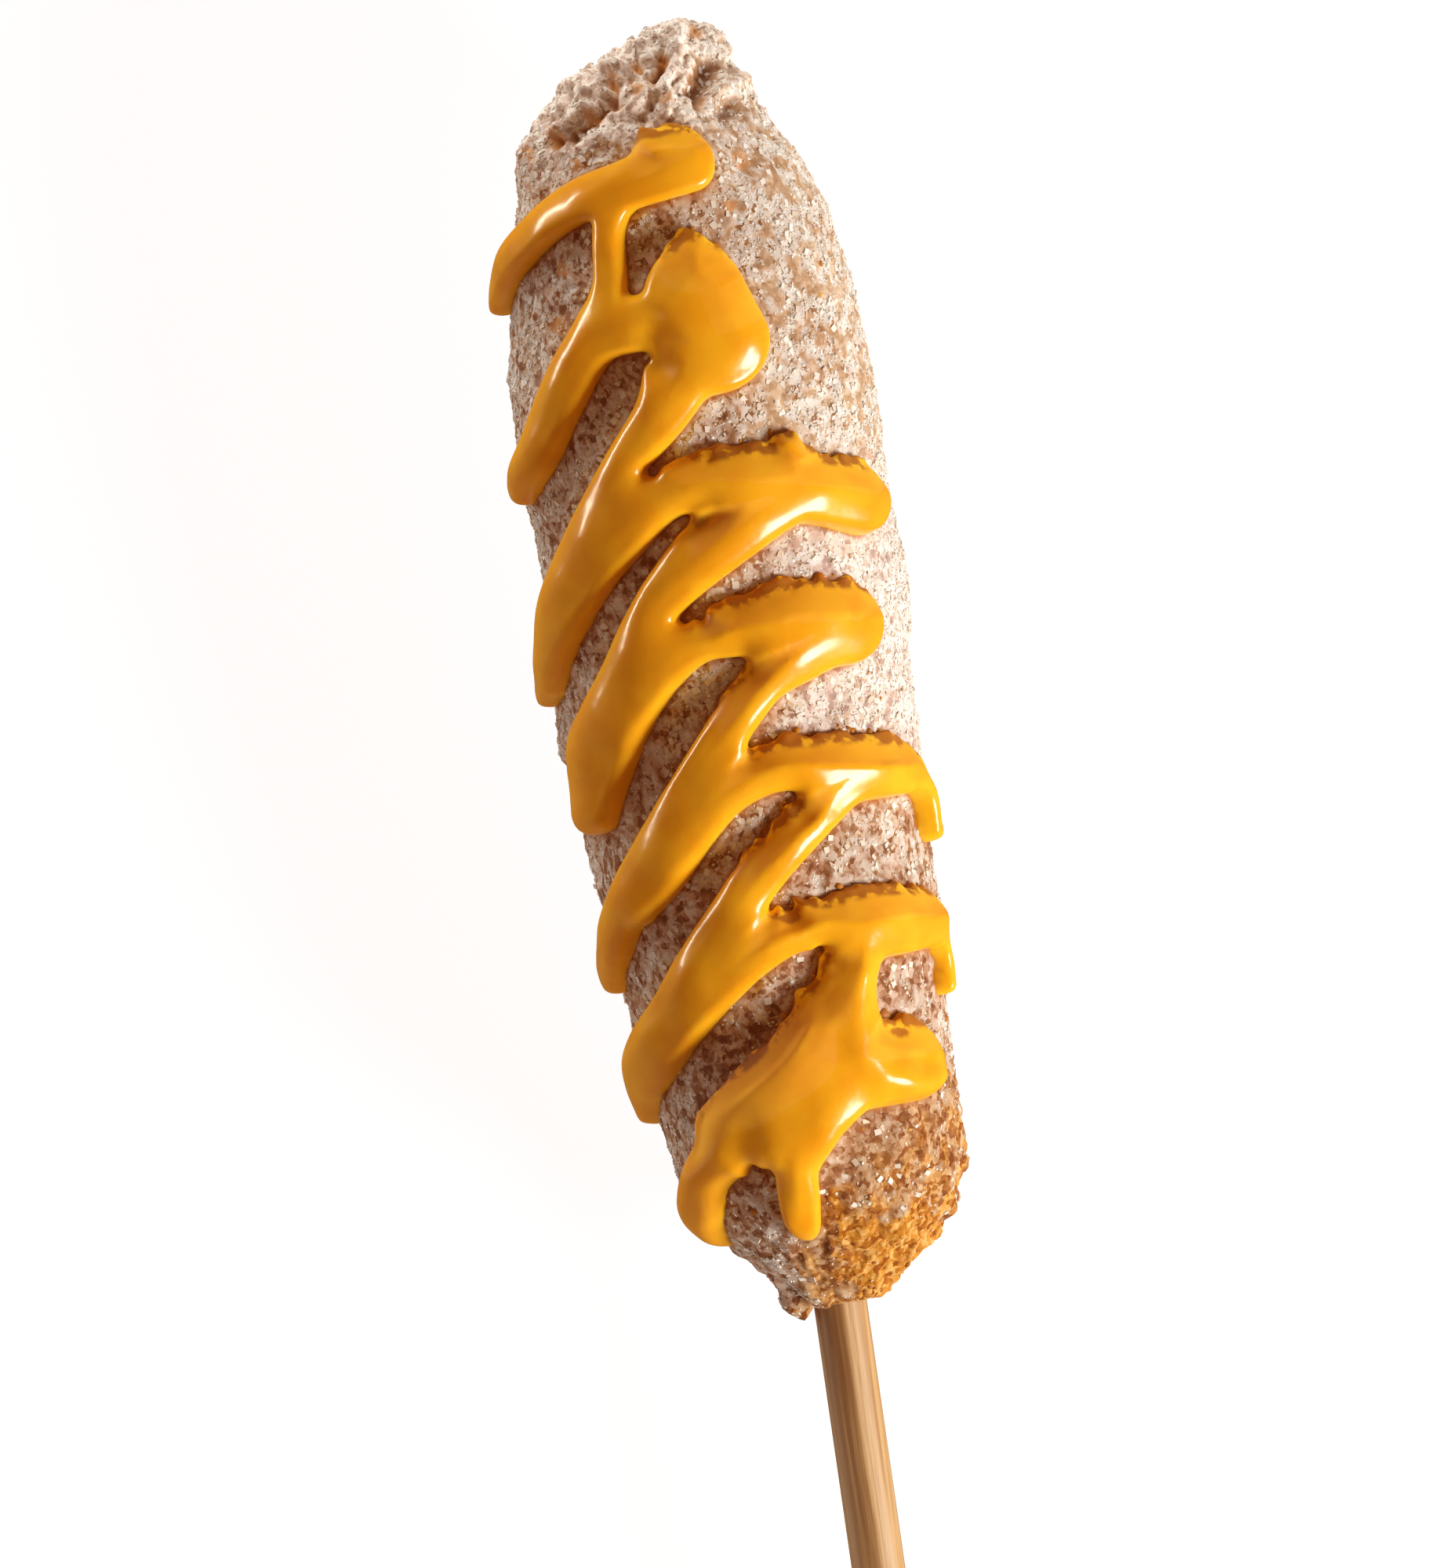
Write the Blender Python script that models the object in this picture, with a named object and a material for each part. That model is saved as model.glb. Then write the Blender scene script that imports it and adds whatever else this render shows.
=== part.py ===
# A sugared corn dog on a bamboo stick, lying down with its drizzled side up.
#
# Three separate bodies: the crust with a blind socket for the stick, the thick drizzle that
# lies on it, and the stick. Lengths are in millimetres until a mesh is made, in metres.
#
# Every shape is worked out in the food's own frame: "along" runs from the tip towards the
# stick, "across" to the right with the tip pointing away, "up" out of the drizzled side.
# In the world the tip points to +Y and the drizzled side to +Z.

import math

import bmesh
import bpy
import numpy as np

MM = 0.001

# Crust
BODY_LENGTH = 147.5
BODY_RADIUS = 20.8
TIP_START = 0.4            # the plain body's point, a little behind the frame's zero
TIP_LENGTH = 55.0          # the round nose, up to the widest place
TIP_BLUNTNESS = 2.7
TIP_POWER = 0.53
TAPER_START = 60.0
TAPER_SHARE = 0.25         # of the radius, lost by the butt
TAPER_POWER = 1.5
BUTT_LENGTH = 23.0
BUTT_BLUNTNESS = 2.4
BUTT_POWER = 0.72
BUTT_SHIFT = 2.3           # the butt hangs to the right of the nose's axis
BUTT_SHIFT_START = 85.0
BUTT_SHIFT_LENGTH = 50.0
NOSE_LEAN = 1.3            # the nose bulges left behind its point
NOSE_LEAN_PLACE = 11.0
NOSE_LEAN_SPREAD = 5.0
POINT_LEAN = 3.3           # and its point lies to the right
POINT_SPREAD = 3.6

# Swellings of the batter: along, angle from the top in degrees, spread, height
SWELLINGS = [
    (7.0, -75, 4.5, 0.5),
    (12.5, -88, 3.5, 0.6),
    (9.0, 70, 5.0, 0.8),
    (24.0, 88, 4.5, 0.3),
    (36.5, -86, 3.5, 0.3),
    (79.0, -86, 3.0, 0.9),
    (66.0, 84, 6.0, 0.5),
    (30.0, 175, 9.0, -0.6),
    (45.0, 130, 8.0, 0.6),
    (96.0, -140, 9.0, 0.6),
    (118.0, 150, 8.0, 0.5),
    (58.0, -86, 4.0, -1.4),
    (119.0, 84, 11.0, -1.1),
    (140.5, -82, 4.0, -1.3),
]

SWELLING_FULL_RADIUS = 8.0     # where the body is thinner than this, its swellings die away

# Stick and its socket
STICK_RADIUS = 3.0
STICK_ACROSS = 1.8
STICK_END = 240.0
STICK_CHAMFER = 0.5
STICK_SIDES = 24
SOCKET_DEPTH = 28.0
MOUTH_BEVEL = 0.6
MOUTH_LIP = 1.2            # width of the flat ring round the mouth
CLEARANCE = 0.35           # left between any two bodies

# How it lies: the butt tips down until the belly's low place is under the middle of the weight
PITCH = math.radians(2.0)
FLAT_DEPTH = 0.6           # pressed flat where it rests

# Drizzle
CREST_PER_ROOT_WIDTH = 1.45
CREST_ROUNDNESS = 2.4
EDGE_THICKNESS = 0.55
FLOW_BLEND = 1.3           # how softly two strands run together, per millimetre
FLOW_RADIUS = 20.0         # angles are unrolled to millimetres of arc on this radius
FLOW_STEP = 1.0            # spacing of the points read along a strand
CELL = 2.0                 # spacing of the net that the drizzle is cut from
SNAP_SHARE = 0.28          # of a cell, within which the net's corners move onto the outline
PROBE = 0.05
FLAT_SLOPE = 1e-9          # keeps a division finite where the depth has no slope

# The strands as they were poured: along, across, half of the width. Where "across" passes the
# crust's own outline, the rest of it runs on down the flank.
STRANDS = {
    "nose_arm": [(15.8, 2.5, 3.8), (17.6, -3.3, 2.9), (18.8, -9.5, 2.6), (21.6, -14.6, 2.5),
                 (25.3, -18.0, 2.4), (28.4, -19.4, 2.1)],
    "nose_fall": [(19.0, -5.4, 2.2), (23.0, -6.7, 1.9), (28.0, -7.3, 1.9), (32.0, -8.6, 2.3)],
    "shoulder_fall": [(33.0, -8.8, 2.6), (36.5, -11.8, 2.9), (41.0, -14.8, 2.9),
                      (46.0, -17.6, 2.7), (49.5, -19.8, 2.4)],
    "pool": [(31.0, 1.8, 5.8), (36.0, 3.0, 6.3)],
    "pool_peak": [(26.0, 2.2, 2.0), (29.0, 2.2, 4.0)],
    "pool_neck": [(34.0, -9.0, 2.9), (34.2, -5.0, 2.5), (33.8, -2.0, 2.8)],
    "pool_fall": [(37.0, 0.0, 4.5), (43.0, -3.4, 3.1), (48.0, -8.0, 2.4), (53.0, -11.6, 2.5),
                  (59.0, -15.5, 2.6), (65.0, -18.5, 2.6), (70.0, -19.8, 2.4), (72.8, -20.4, 2.1)],
    "second_arm": [(56.2, 16.4, 4.2), (54.2, 11.0, 4.0), (53.0, 6.0, 4.4), (51.8, 0.0, 3.2),
                   (52.8, -5.0, 2.8), (57.0, -9.9, 2.5), (60.4, -13.3, 2.3), (63.8, -16.0, 2.2),
                   (67.5, -18.2, 2.1), (71.5, -19.9, 1.9)],
    "second_fall": [(55.2, 6.0, 3.9), (58.8, 0.0, 3.6), (63.0, -5.5, 2.8), (67.5, -9.4, 2.4),
                    (72.0, -12.3, 2.3), (76.0, -15.0, 2.4), (80.0, -17.0, 2.7), (87.0, -17.6, 2.6)],
    "third_arm": [(69.7, 12.8, 4.9), (69.0, 8.0, 5.0), (68.5, 2.5, 3.6), (69.0, -3.0, 2.8),
                  (72.0, -7.3, 2.3), (76.0, -11.0, 2.3), (81.0, -14.0, 2.3), (87.0, -16.5, 2.2)],
    "third_fall": [(71.0, 8.0, 4.4), (74.5, 3.4, 2.8), (78.0, 0.0, 2.5), (82.0, -3.4, 2.5),
                   (86.0, -6.8, 2.4), (91.0, -10.8, 2.3), (96.0, -14.2, 2.5),
                   (101.0, -16.7, 2.5), (106.0, -17.8, 2.0)],
    "fourth_arm": [(86.8, 16.6, 3.2), (86.0, 12.0, 3.8), (85.0, 7.0, 3.4), (84.5, 3.0, 2.9),
                   (86.5, -2.0, 2.4), (90.0, -6.2, 2.3), (94.5, -10.2, 2.3), (98.0, -14.0, 2.2)],
    "fourth_drip": [(87.2, 18.0, 2.4), (90.0, 19.2, 1.8), (94.0, 19.5, 1.7)],
    "fourth_fall": [(87.5, 9.6, 3.0), (91.8, 4.8, 2.7), (96.0, 0.0, 2.7), (101.0, -4.6, 2.6),
                    (106.0, -8.8, 2.6), (111.0, -12.5, 2.6), (116.0, -15.8, 2.7),
                    (121.0, -17.0, 2.3)],
    "fifth_arm": [(104.0, 17.0, 3.5), (103.5, 12.0, 4.1), (103.0, 7.0, 3.2), (102.8, 2.4, 2.8),
                  (105.6, -2.7, 2.3), (109.6, -7.6, 2.0), (113.0, -11.0, 1.7), (117.0, -14.2, 1.5),
                  (120.5, -16.0, 1.5)],
    "fifth_drip": [(105.5, 18.0, 1.6), (108.5, 18.7, 1.1), (112.0, 18.7, 1.2)],
    "fifth_fall": [(104.0, 9.4, 3.6), (109.0, 7.7, 3.4), (114.0, 6.2, 4.6)],
    "apron_lobe": [(119.3, 13.5, 4.9), (119.0, 9.0, 5.2)],
    "apron": [(114.5, 5.0, 4.8), (119.5, 4.2, 5.8), (123.0, -1.0, 5.0), (126.0, -6.5, 3.8)],
    "apron_side": [(113.6, 2.6, 2.2), (117.5, -0.6, 2.9), (120.8, -4.8, 3.0), (124.0, -9.0, 2.8)],
    "left_drip": [(124.5, -6.4, 4.0), (128.5, -10.3, 2.9), (131.8, -11.6, 3.0), (135.0, -11.8, 2.9)],
    "middle_drip": [(124.0, 1.0, 4.6), (129.0, -0.7, 2.9), (133.0, -1.0, 2.9), (135.4, -1.0, 2.7)],
}

# Mesh density of the crust
CRUST_SIDES = 44
CRUST_RING_STEP = 3.1
TIP_RINGS = [0.7, 1.5, 2.7, 4.3, 6.4]

SHARP_ANGLE = math.radians(50.0)

COLOURS = {
    "crust": (0.62, 0.40, 0.25),
    "sauce": (0.86, 0.38, 0.02),
    "stick": (0.66, 0.42, 0.19),
}
ROUGHNESS = {"crust": 0.8, "sauce": 0.22, "stick": 0.55}


def smooth_step(value):
    value = np.clip(value, 0.0, 1.0)
    return value * value * (3.0 - 2.0 * value)


# ---- the crust's shape ----

def crust_radius(along):
    """Radius of the plain body of revolution, at a distance from the tip."""
    nose = np.clip(1.0 - (along - TIP_START) / TIP_LENGTH, 0.0, 1.0) ** TIP_BLUNTNESS
    nose = (1.0 - nose) ** TIP_POWER
    run = np.clip(along - TAPER_START, 0.0, None) / (BODY_LENGTH - TAPER_START)
    taper = 1.0 - TAPER_SHARE * run ** TAPER_POWER
    end = np.clip((along - BODY_LENGTH + BUTT_LENGTH) / BUTT_LENGTH, 0.0, 1.0)
    butt = (1.0 - end ** BUTT_BLUNTNESS) ** BUTT_POWER
    return BODY_RADIUS * nose * taper * butt


def crust_centre(along):
    """Sideways place of the body's middle."""
    hang = BUTT_SHIFT * smooth_step((along - BUTT_SHIFT_START) / BUTT_SHIFT_LENGTH)
    lean = NOSE_LEAN * np.exp(-((along - NOSE_LEAN_PLACE) / NOSE_LEAN_SPREAD) ** 2)
    return hang - lean + POINT_LEAN * np.exp(-(along / POINT_SPREAD) ** 2)


def swelling(along, angle):
    """Height of the batter's swellings over the plain body."""
    radius = crust_radius(along)
    total = np.zeros(np.broadcast(along, angle).shape)
    for place, degrees, spread, height in SWELLINGS:
        turn = (angle - math.radians(degrees) + math.pi) % (2.0 * math.pi) - math.pi
        distance = np.hypot(along - place, turn * radius)
        total += height * np.exp(-(distance / spread) ** 2)
    return total * np.clip(radius / SWELLING_FULL_RADIUS, 0.0, 1.0)


def surface(along, angle, lift=0.0):
    """Points above the crust, in the food's own frame, one row each."""
    along, angle, lift = np.broadcast_arrays(along, angle, lift)
    out = crust_radius(along) + swelling(along, angle) + lift
    across = crust_centre(along) + out * np.sin(angle)
    return np.stack([along, across, out * np.cos(angle)], axis=-1)


def angle_at(along, across):
    """Angle from the top that a strand's point lies at."""
    radius = crust_radius(along)
    share = (across - crust_centre(along)) / radius
    over = math.copysign(max(abs(share) - 1.0, 0.0), share)
    return math.asin(min(max(share, -1.0), 1.0)) + over


# ---- the drizzle's shape ----

def smooth_line(points):
    """Points every FLOW_STEP along a Catmull-Rom curve through the given ones."""
    given = np.array(points, dtype=float)
    given = np.vstack([2.0 * given[0] - given[1], given, 2.0 * given[-1] - given[-2]])
    line = []
    for a, b, c, d in zip(given, given[1:], given[2:], given[3:]):
        count = max(2, int(math.dist(b[:2], c[:2]) / FLOW_STEP) + 1)
        t = np.linspace(0.0, 1.0, count, endpoint=False)[:, None]
        line.append(0.5 * (2.0 * b + (c - a) * t + (2.0 * a - 5.0 * b + 4.0 * c - d) * t ** 2
                           + (3.0 * b - a - 3.0 * c + d) * t ** 3))
    return np.vstack(line + [given[-2:-1]])


def strand_depth(line, along, arc):
    """How far inside one strand each place is, and the strand's half-width there."""
    depth = np.full(along.shape, -1000.0)
    width = np.zeros(along.shape)
    for start, end in zip(line, line[1:]):
        step = end[:2] - start[:2]
        t = ((along - start[0]) * step[0] + (arc - start[1]) * step[1]) / (step @ step)
        t = np.clip(t, 0.0, 1.0)
        half = start[2] + t * (end[2] - start[2])
        inside = half - np.hypot(along - start[0] - t * step[0], arc - start[1] - t * step[1])
        nearer = inside > depth
        depth = np.where(nearer, inside, depth)
        width = np.where(nearer, half, width)
    return depth, width


def flow(along, arc):
    """Depth inside the whole drizzle, its strands run together, and the local half-width."""
    depths, widths = [], []
    for points in STRANDS.values():
        unrolled = [(s, FLOW_RADIUS * angle_at(s, u), half) for s, u, half in points]
        depth, width = strand_depth(smooth_line(unrolled), along, arc)
        depths.append(depth)
        widths.append(width)
    depths = np.array(depths)
    deepest = depths.max(axis=0)
    weight = np.exp(FLOW_BLEND * (depths - deepest))
    depth = deepest + np.log(weight.sum(axis=0)) / FLOW_BLEND
    width = (weight * np.array(widths)).sum(axis=0) / weight.sum(axis=0)
    return depth, width


def drizzle_height(depth, width):
    """Rounded cross-section of a strand: steep at its edge, flat on its crest."""
    in_from_crest = np.clip(1.0 - depth / width, 0.0, 1.0)
    crest = CREST_PER_ROOT_WIDTH * np.sqrt(width)
    return EDGE_THICKNESS + crest * np.sqrt(1.0 - in_from_crest ** CREST_ROUNDNESS)


def net_over_drizzle():
    """A square net that reaches past every strand, as places along and arc."""
    ends = [(s, FLOW_RADIUS * angle_at(s, u)) for line in STRANDS.values() for s, u, half in line]
    widest = max(half for line in STRANDS.values() for s, u, half in line)
    low = np.min(ends, axis=0) - widest - 2.0 * CELL
    high = np.max(ends, axis=0) + widest + 2.0 * CELL
    axes = [np.arange(low[axis], high[axis], CELL) for axis in (0, 1)]
    return np.meshgrid(*axes, indexing="ij")


def is_pinched(side, i, j):
    """Whether two strands would meet in nothing but this corner of the net."""
    beside = [side[i - 1, j], side[i, j - 1], side[i + 1, j], side[i, j + 1]]
    filled = [side[a:a + 2, b:b + 2].max() > 0
              for a, b in ((i - 1, j - 1), (i, j - 1), (i, j), (i - 1, j))]
    touching = [filled[k] and max(beside[k], beside[(k + 1) % 4]) >= 0 for k in range(4)]
    groups = sum(touching[k] and not (touching[k - 1] and beside[k] >= 0) for k in range(4))
    return groups > 1


def snap_to_outline(along, arc):
    """Move the net's corners that nearly touch the outline onto it, and say which side all are."""
    depth, _ = flow(along, arc)
    slope = [(flow(along + PROBE, arc)[0] - depth) / PROBE, (flow(along, arc + PROBE)[0] - depth) / PROBE]
    steepness = slope[0] ** 2 + slope[1] ** 2 + FLAT_SLOPE
    near = np.abs(depth) / np.sqrt(steepness) < SNAP_SHARE * CELL
    side = np.where(near, 0, np.sign(depth))
    for i, j in np.argwhere(near):
        if is_pinched(side, i, j):
            near[i, j] = False
            side[i, j] = 1
            depth[i, j] = SNAP_SHARE * CELL
    along = np.where(near, along - depth * slope[0] / steepness, along)
    arc = np.where(near, arc - depth * slope[1] / steepness, arc)
    return along, arc, depth, side


def drizzle_cells():
    """The net clipped to the drizzle's outline: places by key, keys on the outline, faces of keys."""
    along, arc, depth, side = snap_to_outline(*net_over_drizzle())
    places, outline, faces = {}, set(), []

    def corner(at):
        places[at] = (along[at], arc[at])
        if side[at] == 0:
            outline.add(at)
        return at

    def crossing(a, b):
        low, high = sorted([a, b])
        t = depth[low] / (depth[low] - depth[high])
        key = (low, high)
        places[key] = (along[low] + t * (along[high] - along[low]),
                       arc[low] + t * (arc[high] - arc[low]))
        outline.add(key)
        return key

    for i in range(along.shape[0] - 1):
        for j in range(along.shape[1] - 1):
            ring = [(i, j), (i + 1, j), (i + 1, j + 1), (i, j + 1)]
            if max(side[at] for at in ring) <= 0:
                continue
            face = []
            for before, at, after in zip(ring[-1:] + ring, ring, ring[1:] + ring[:1]):
                if side[at] > 0 or (side[at] == 0 and max(side[before], side[after]) >= 0):
                    face.append(corner(at))
                if side[at] * side[after] < 0:
                    face.append(crossing(at, after))
            faces.append(face)
    return places, outline, faces


# ---- placing ----

def to_world(points):
    """Turn the food's own frame into the world's, still in millimetres and not yet centred."""
    along, across, up = np.moveaxis(np.asarray(points, dtype=float), -1, 0)
    back = -along * math.cos(PITCH) - up * math.sin(PITCH)
    height = -along * math.sin(PITCH) + up * math.cos(PITCH)
    return np.stack([across, back, height], axis=-1)


def make_object(name, mesh):
    part = bpy.data.objects.new(name, mesh)
    bpy.context.scene.collection.objects.link(part)
    material = bpy.data.materials.new(name)
    material.use_nodes = True
    shader = material.node_tree.nodes["Principled BSDF"]
    shader.inputs["Base Color"].default_value = (*COLOURS[name], 1.0)
    shader.inputs["Roughness"].default_value = ROUGHNESS[name]
    shader.inputs["Metallic"].default_value = 0.0
    mesh.materials.append(material)
    mesh.shade_smooth()
    mesh.set_sharp_from_angle(angle=SHARP_ANGLE)
    return part


def finish_mesh(name, shape):
    bmesh.ops.recalc_face_normals(shape, faces=shape.faces)
    mesh = bpy.data.meshes.new(name)
    shape.to_mesh(mesh)
    shape.free()
    return make_object(name, mesh)


def bridge_rings(shape, rings):
    for near, far in zip(rings, rings[1:]):
        for k in range(len(near)):
            following = (k + 1) % len(near)
            shape.faces.new([near[k], near[following], far[following], far[k]])


def close_with_fan(shape, ring, centre):
    pole = shape.verts.new(centre)
    for k in range(len(ring)):
        shape.faces.new([ring[k], ring[(k + 1) % len(ring)], pole])


# ---- the three bodies ----

def make_crust():
    shape = bmesh.new()
    angles = np.linspace(0.0, 2.0 * math.pi, CRUST_SIDES, endpoint=False)
    mouth = STICK_RADIUS + CLEARANCE
    last = BODY_LENGTH - MOUTH_BEVEL
    count = round((last - TIP_RINGS[-1]) / CRUST_RING_STEP)
    places = TIP_RINGS + list(np.linspace(TIP_RINGS[-1], last, count + 1)[1:])

    rings = []
    for place in places:
        points = surface(place, angles)
        if place == last:
            points = np.stack([np.full(CRUST_SIDES, last),
                               STICK_ACROSS + (mouth + MOUTH_LIP) * np.sin(angles),
                               (mouth + MOUTH_LIP) * np.cos(angles)], axis=-1)
        rings.append([shape.verts.new(p) for p in to_world(points)])
    for place in (BODY_LENGTH, BODY_LENGTH - SOCKET_DEPTH):
        points = np.stack([np.full(CRUST_SIDES, place),
                           STICK_ACROSS + mouth * np.sin(angles),
                           mouth * np.cos(angles)], axis=-1)
        rings.append([shape.verts.new(p) for p in to_world(points)])

    bridge_rings(shape, rings)
    close_with_fan(shape, rings[0], to_world(surface(TIP_START, 0.0)))
    close_with_fan(shape, rings[-1], to_world((BODY_LENGTH - SOCKET_DEPTH, STICK_ACROSS, 0.0)))
    return finish_mesh("crust", shape)


def make_sauce():
    places, outline, faces = drizzle_cells()
    keys = list(places)
    along = np.array([places[key][0] for key in keys])
    arc = np.array([places[key][1] for key in keys])
    depth, width = flow(along, arc)
    on_outline = np.array([key in outline for key in keys])
    height = np.where(on_outline, EDGE_THICKNESS, drizzle_height(depth, width))
    angle = arc / FLOW_RADIUS

    shape = bmesh.new()
    upper = to_world(surface(along, angle, CLEARANCE + height))
    lower = to_world(surface(along, angle, CLEARANCE))
    top = {key: shape.verts.new(point) for key, point in zip(keys, upper)}
    bottom = {key: shape.verts.new(point) for key, point in zip(keys, lower)}
    for face in faces:
        shape.faces.new([top[key] for key in face])
        shape.faces.new([bottom[key] for key in reversed(face)])

    sides = {}
    for face in faces:
        for a, b in zip(face, face[1:] + face[:1]):
            if sides.pop((b, a), None) is None:
                sides[(a, b)] = True
    for a, b in sides:
        shape.faces.new([top[b], top[a], bottom[a], bottom[b]])
    bmesh.ops.triangulate(shape, faces=shape.faces)
    return finish_mesh("sauce", shape)


def make_stick():
    shape = bmesh.new()
    start = BODY_LENGTH - SOCKET_DEPTH + CLEARANCE
    profile = [(start, STICK_RADIUS - STICK_CHAMFER), (start + STICK_CHAMFER, STICK_RADIUS),
               (STICK_END - STICK_CHAMFER, STICK_RADIUS), (STICK_END, STICK_RADIUS - STICK_CHAMFER)]
    angles = np.linspace(0.0, 2.0 * math.pi, STICK_SIDES, endpoint=False)
    rings = []
    for place, radius in profile:
        points = np.stack([np.full(STICK_SIDES, place),
                           STICK_ACROSS + radius * np.sin(angles),
                           radius * np.cos(angles)], axis=-1)
        rings.append([shape.verts.new(p) for p in to_world(points)])
    bridge_rings(shape, rings)
    shape.faces.new(rings[0])
    shape.faces.new(rings[-1])
    return finish_mesh("stick", shape)


def settle(parts):
    """Press the resting place flat, centre the parts over the origin and turn them to metres."""
    crust = parts[0].data
    floor = min(vertex.co.z for vertex in crust.vertices) + FLAT_DEPTH
    for vertex in crust.vertices:
        vertex.co.z = max(vertex.co.z, floor)
    points = np.array([vertex.co for part in parts for vertex in part.data.vertices])
    middle = (points.min(axis=0) + points.max(axis=0)) / 2.0
    for part in parts:
        for vertex in part.data.vertices:
            vertex.co.x = (vertex.co.x - middle[0]) * MM
            vertex.co.y = (vertex.co.y - middle[1]) * MM
            vertex.co.z = (vertex.co.z - floor) * MM
        part.data.update()


def main():
    for leftover in list(bpy.data.objects):
        bpy.data.objects.remove(leftover, do_unlink=True)
    settle([make_crust(), make_sauce(), make_stick()])


main()
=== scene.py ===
# Corn dog: sugared crust, poured sauce and bamboo stick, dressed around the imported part.
import math

import bmesh
import bpy
import numpy as np
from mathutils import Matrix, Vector, noise


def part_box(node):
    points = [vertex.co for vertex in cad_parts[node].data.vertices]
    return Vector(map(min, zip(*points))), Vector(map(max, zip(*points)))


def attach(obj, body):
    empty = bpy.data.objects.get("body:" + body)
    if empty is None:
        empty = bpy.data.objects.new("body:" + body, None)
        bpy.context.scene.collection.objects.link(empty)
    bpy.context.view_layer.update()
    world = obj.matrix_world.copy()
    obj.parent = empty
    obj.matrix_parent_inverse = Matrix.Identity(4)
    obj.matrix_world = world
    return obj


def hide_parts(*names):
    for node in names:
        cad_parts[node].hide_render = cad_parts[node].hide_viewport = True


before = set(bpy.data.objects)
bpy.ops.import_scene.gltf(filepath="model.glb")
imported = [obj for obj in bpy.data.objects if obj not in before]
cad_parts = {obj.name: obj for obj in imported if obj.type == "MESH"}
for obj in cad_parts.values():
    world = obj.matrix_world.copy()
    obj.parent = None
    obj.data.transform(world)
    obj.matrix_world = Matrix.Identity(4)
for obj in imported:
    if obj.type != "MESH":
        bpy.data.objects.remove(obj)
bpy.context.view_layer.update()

mm = 0.001
scene = bpy.context.scene

# The food's own frame: along from the tip towards the stick, across to the right with the tip
# pointing away, up out of the sauced side. All lengths are millimetres until a mesh is made.
body = {
    "length": 147.5, "radius": 20.8,
    "noseStart": 0.4, "noseLength": 55.0, "noseBluntness": 2.7, "nosePower": 0.53,
    "taperStart": 60.0, "taperShare": 0.25, "taperPower": 1.5,
    "buttLength": 23.0, "buttBluntness": 2.4, "buttPower": 0.72,
    "hang": 2.3, "hangStart": 85.0, "hangLength": 50.0,
    "lean": 1.3, "leanPlace": 11.0, "leanSpread": 5.0, "pointLean": 3.3, "pointSpread": 3.6,
    "swellRadius": 8.0, "pitch": math.radians(2.0),
}
stickSize = {"radius": 3.0, "across": 1.8, "end": 240.0, "chamfer": 0.5, "socket": 28.0}

swellings = [   # along, degrees from the top, spread, height
    (7.0, -75, 4.5, 0.5), (12.5, -88, 3.5, 0.6), (9.0, 70, 5.0, 0.8), (24.0, 88, 4.5, 0.3),
    (36.5, -86, 3.5, 0.3), (79.0, -86, 3.0, 0.9), (66.0, 84, 6.0, 0.5), (30.0, 175, 9.0, -0.6),
    (45.0, 130, 8.0, 0.6), (96.0, -140, 9.0, 0.6), (118.0, 150, 8.0, 0.5), (58.0, -86, 4.0, -1.4),
    (119.0, 84, 11.0, -1.1), (140.5, -82, 4.0, -1.3),
]


def smoothStep(value):
    value = np.clip(value, 0.0, 1.0)
    return value * value * (3.0 - 2.0 * value)


def fade(value, start, run):        # a negative run fades out instead
    return smoothStep((value - start) / run)


def bodyRadius(along):
    nose = (along - body["noseStart"]) / body["noseLength"]
    nose = np.clip(1.0 - nose, 0.0, 1.0) ** body["noseBluntness"]
    run = np.clip(along - body["taperStart"], 0.0, None) / (body["length"] - body["taperStart"])
    taper = 1.0 - body["taperShare"] * run ** body["taperPower"]
    end = np.clip((along - body["length"] + body["buttLength"]) / body["buttLength"], 0.0, 1.0)
    butt = (1.0 - end ** body["buttBluntness"]) ** body["buttPower"]
    return body["radius"] * (1.0 - nose) ** body["nosePower"] * taper * butt


def bodyCentre(along):
    hang = body["hang"] * fade(along, body["hangStart"], body["hangLength"])
    lean = body["lean"] * np.exp(-((along - body["leanPlace"]) / body["leanSpread"]) ** 2)
    return hang - lean + body["pointLean"] * np.exp(-(along / body["pointSpread"]) ** 2)


def lumpHeight(along, angle, lumps, squareness):
    radius = bodyRadius(along)
    total = np.zeros(np.broadcast(along, angle).shape)
    for place, degrees, spread, height in lumps:
        turn = (angle - math.radians(degrees) + math.pi) % (2.0 * math.pi) - math.pi
        total += height * np.exp(-(np.hypot(along - place, turn * radius) / spread) ** squareness)
    return total


def swelling(along, angle):
    towardsTip = np.clip(bodyRadius(along) / body["swellRadius"], 0.0, 1.0)
    return lumpHeight(along, angle, swellings, 2) * towardsTip


def surface(along, angle, lift=0.0):
    along, angle, lift = np.broadcast_arrays(along, angle, lift)
    out = bodyRadius(along) + swelling(along, angle) + lift
    return np.stack([along, bodyCentre(along) + out * np.sin(angle), out * np.cos(angle)], axis=-1)


# Where the tip lies in the world, read back from the stick's own solid
stickLow, stickHigh = (np.array(corner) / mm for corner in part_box("stick"))
cosPitch, sinPitch = math.cos(body["pitch"]), math.sin(body["pitch"])
tip = np.array([
    (stickLow[0] + stickHigh[0]) / 2.0 - stickSize["across"],
    stickLow[1] + stickSize["end"] * cosPitch + (stickSize["radius"] - stickSize["chamfer"]) * sinPitch,
    stickLow[2] + (stickSize["end"] - stickSize["chamfer"]) * sinPitch + stickSize["radius"] * cosPitch,
])


def toWorld(points):
    along, across, up = np.moveaxis(np.asarray(points, dtype=float), -1, 0)
    offset = np.stack([across, -along * cosPitch - up * sinPitch, -along * sinPitch + up * cosPitch], -1)
    return (tip + offset) * mm


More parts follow.
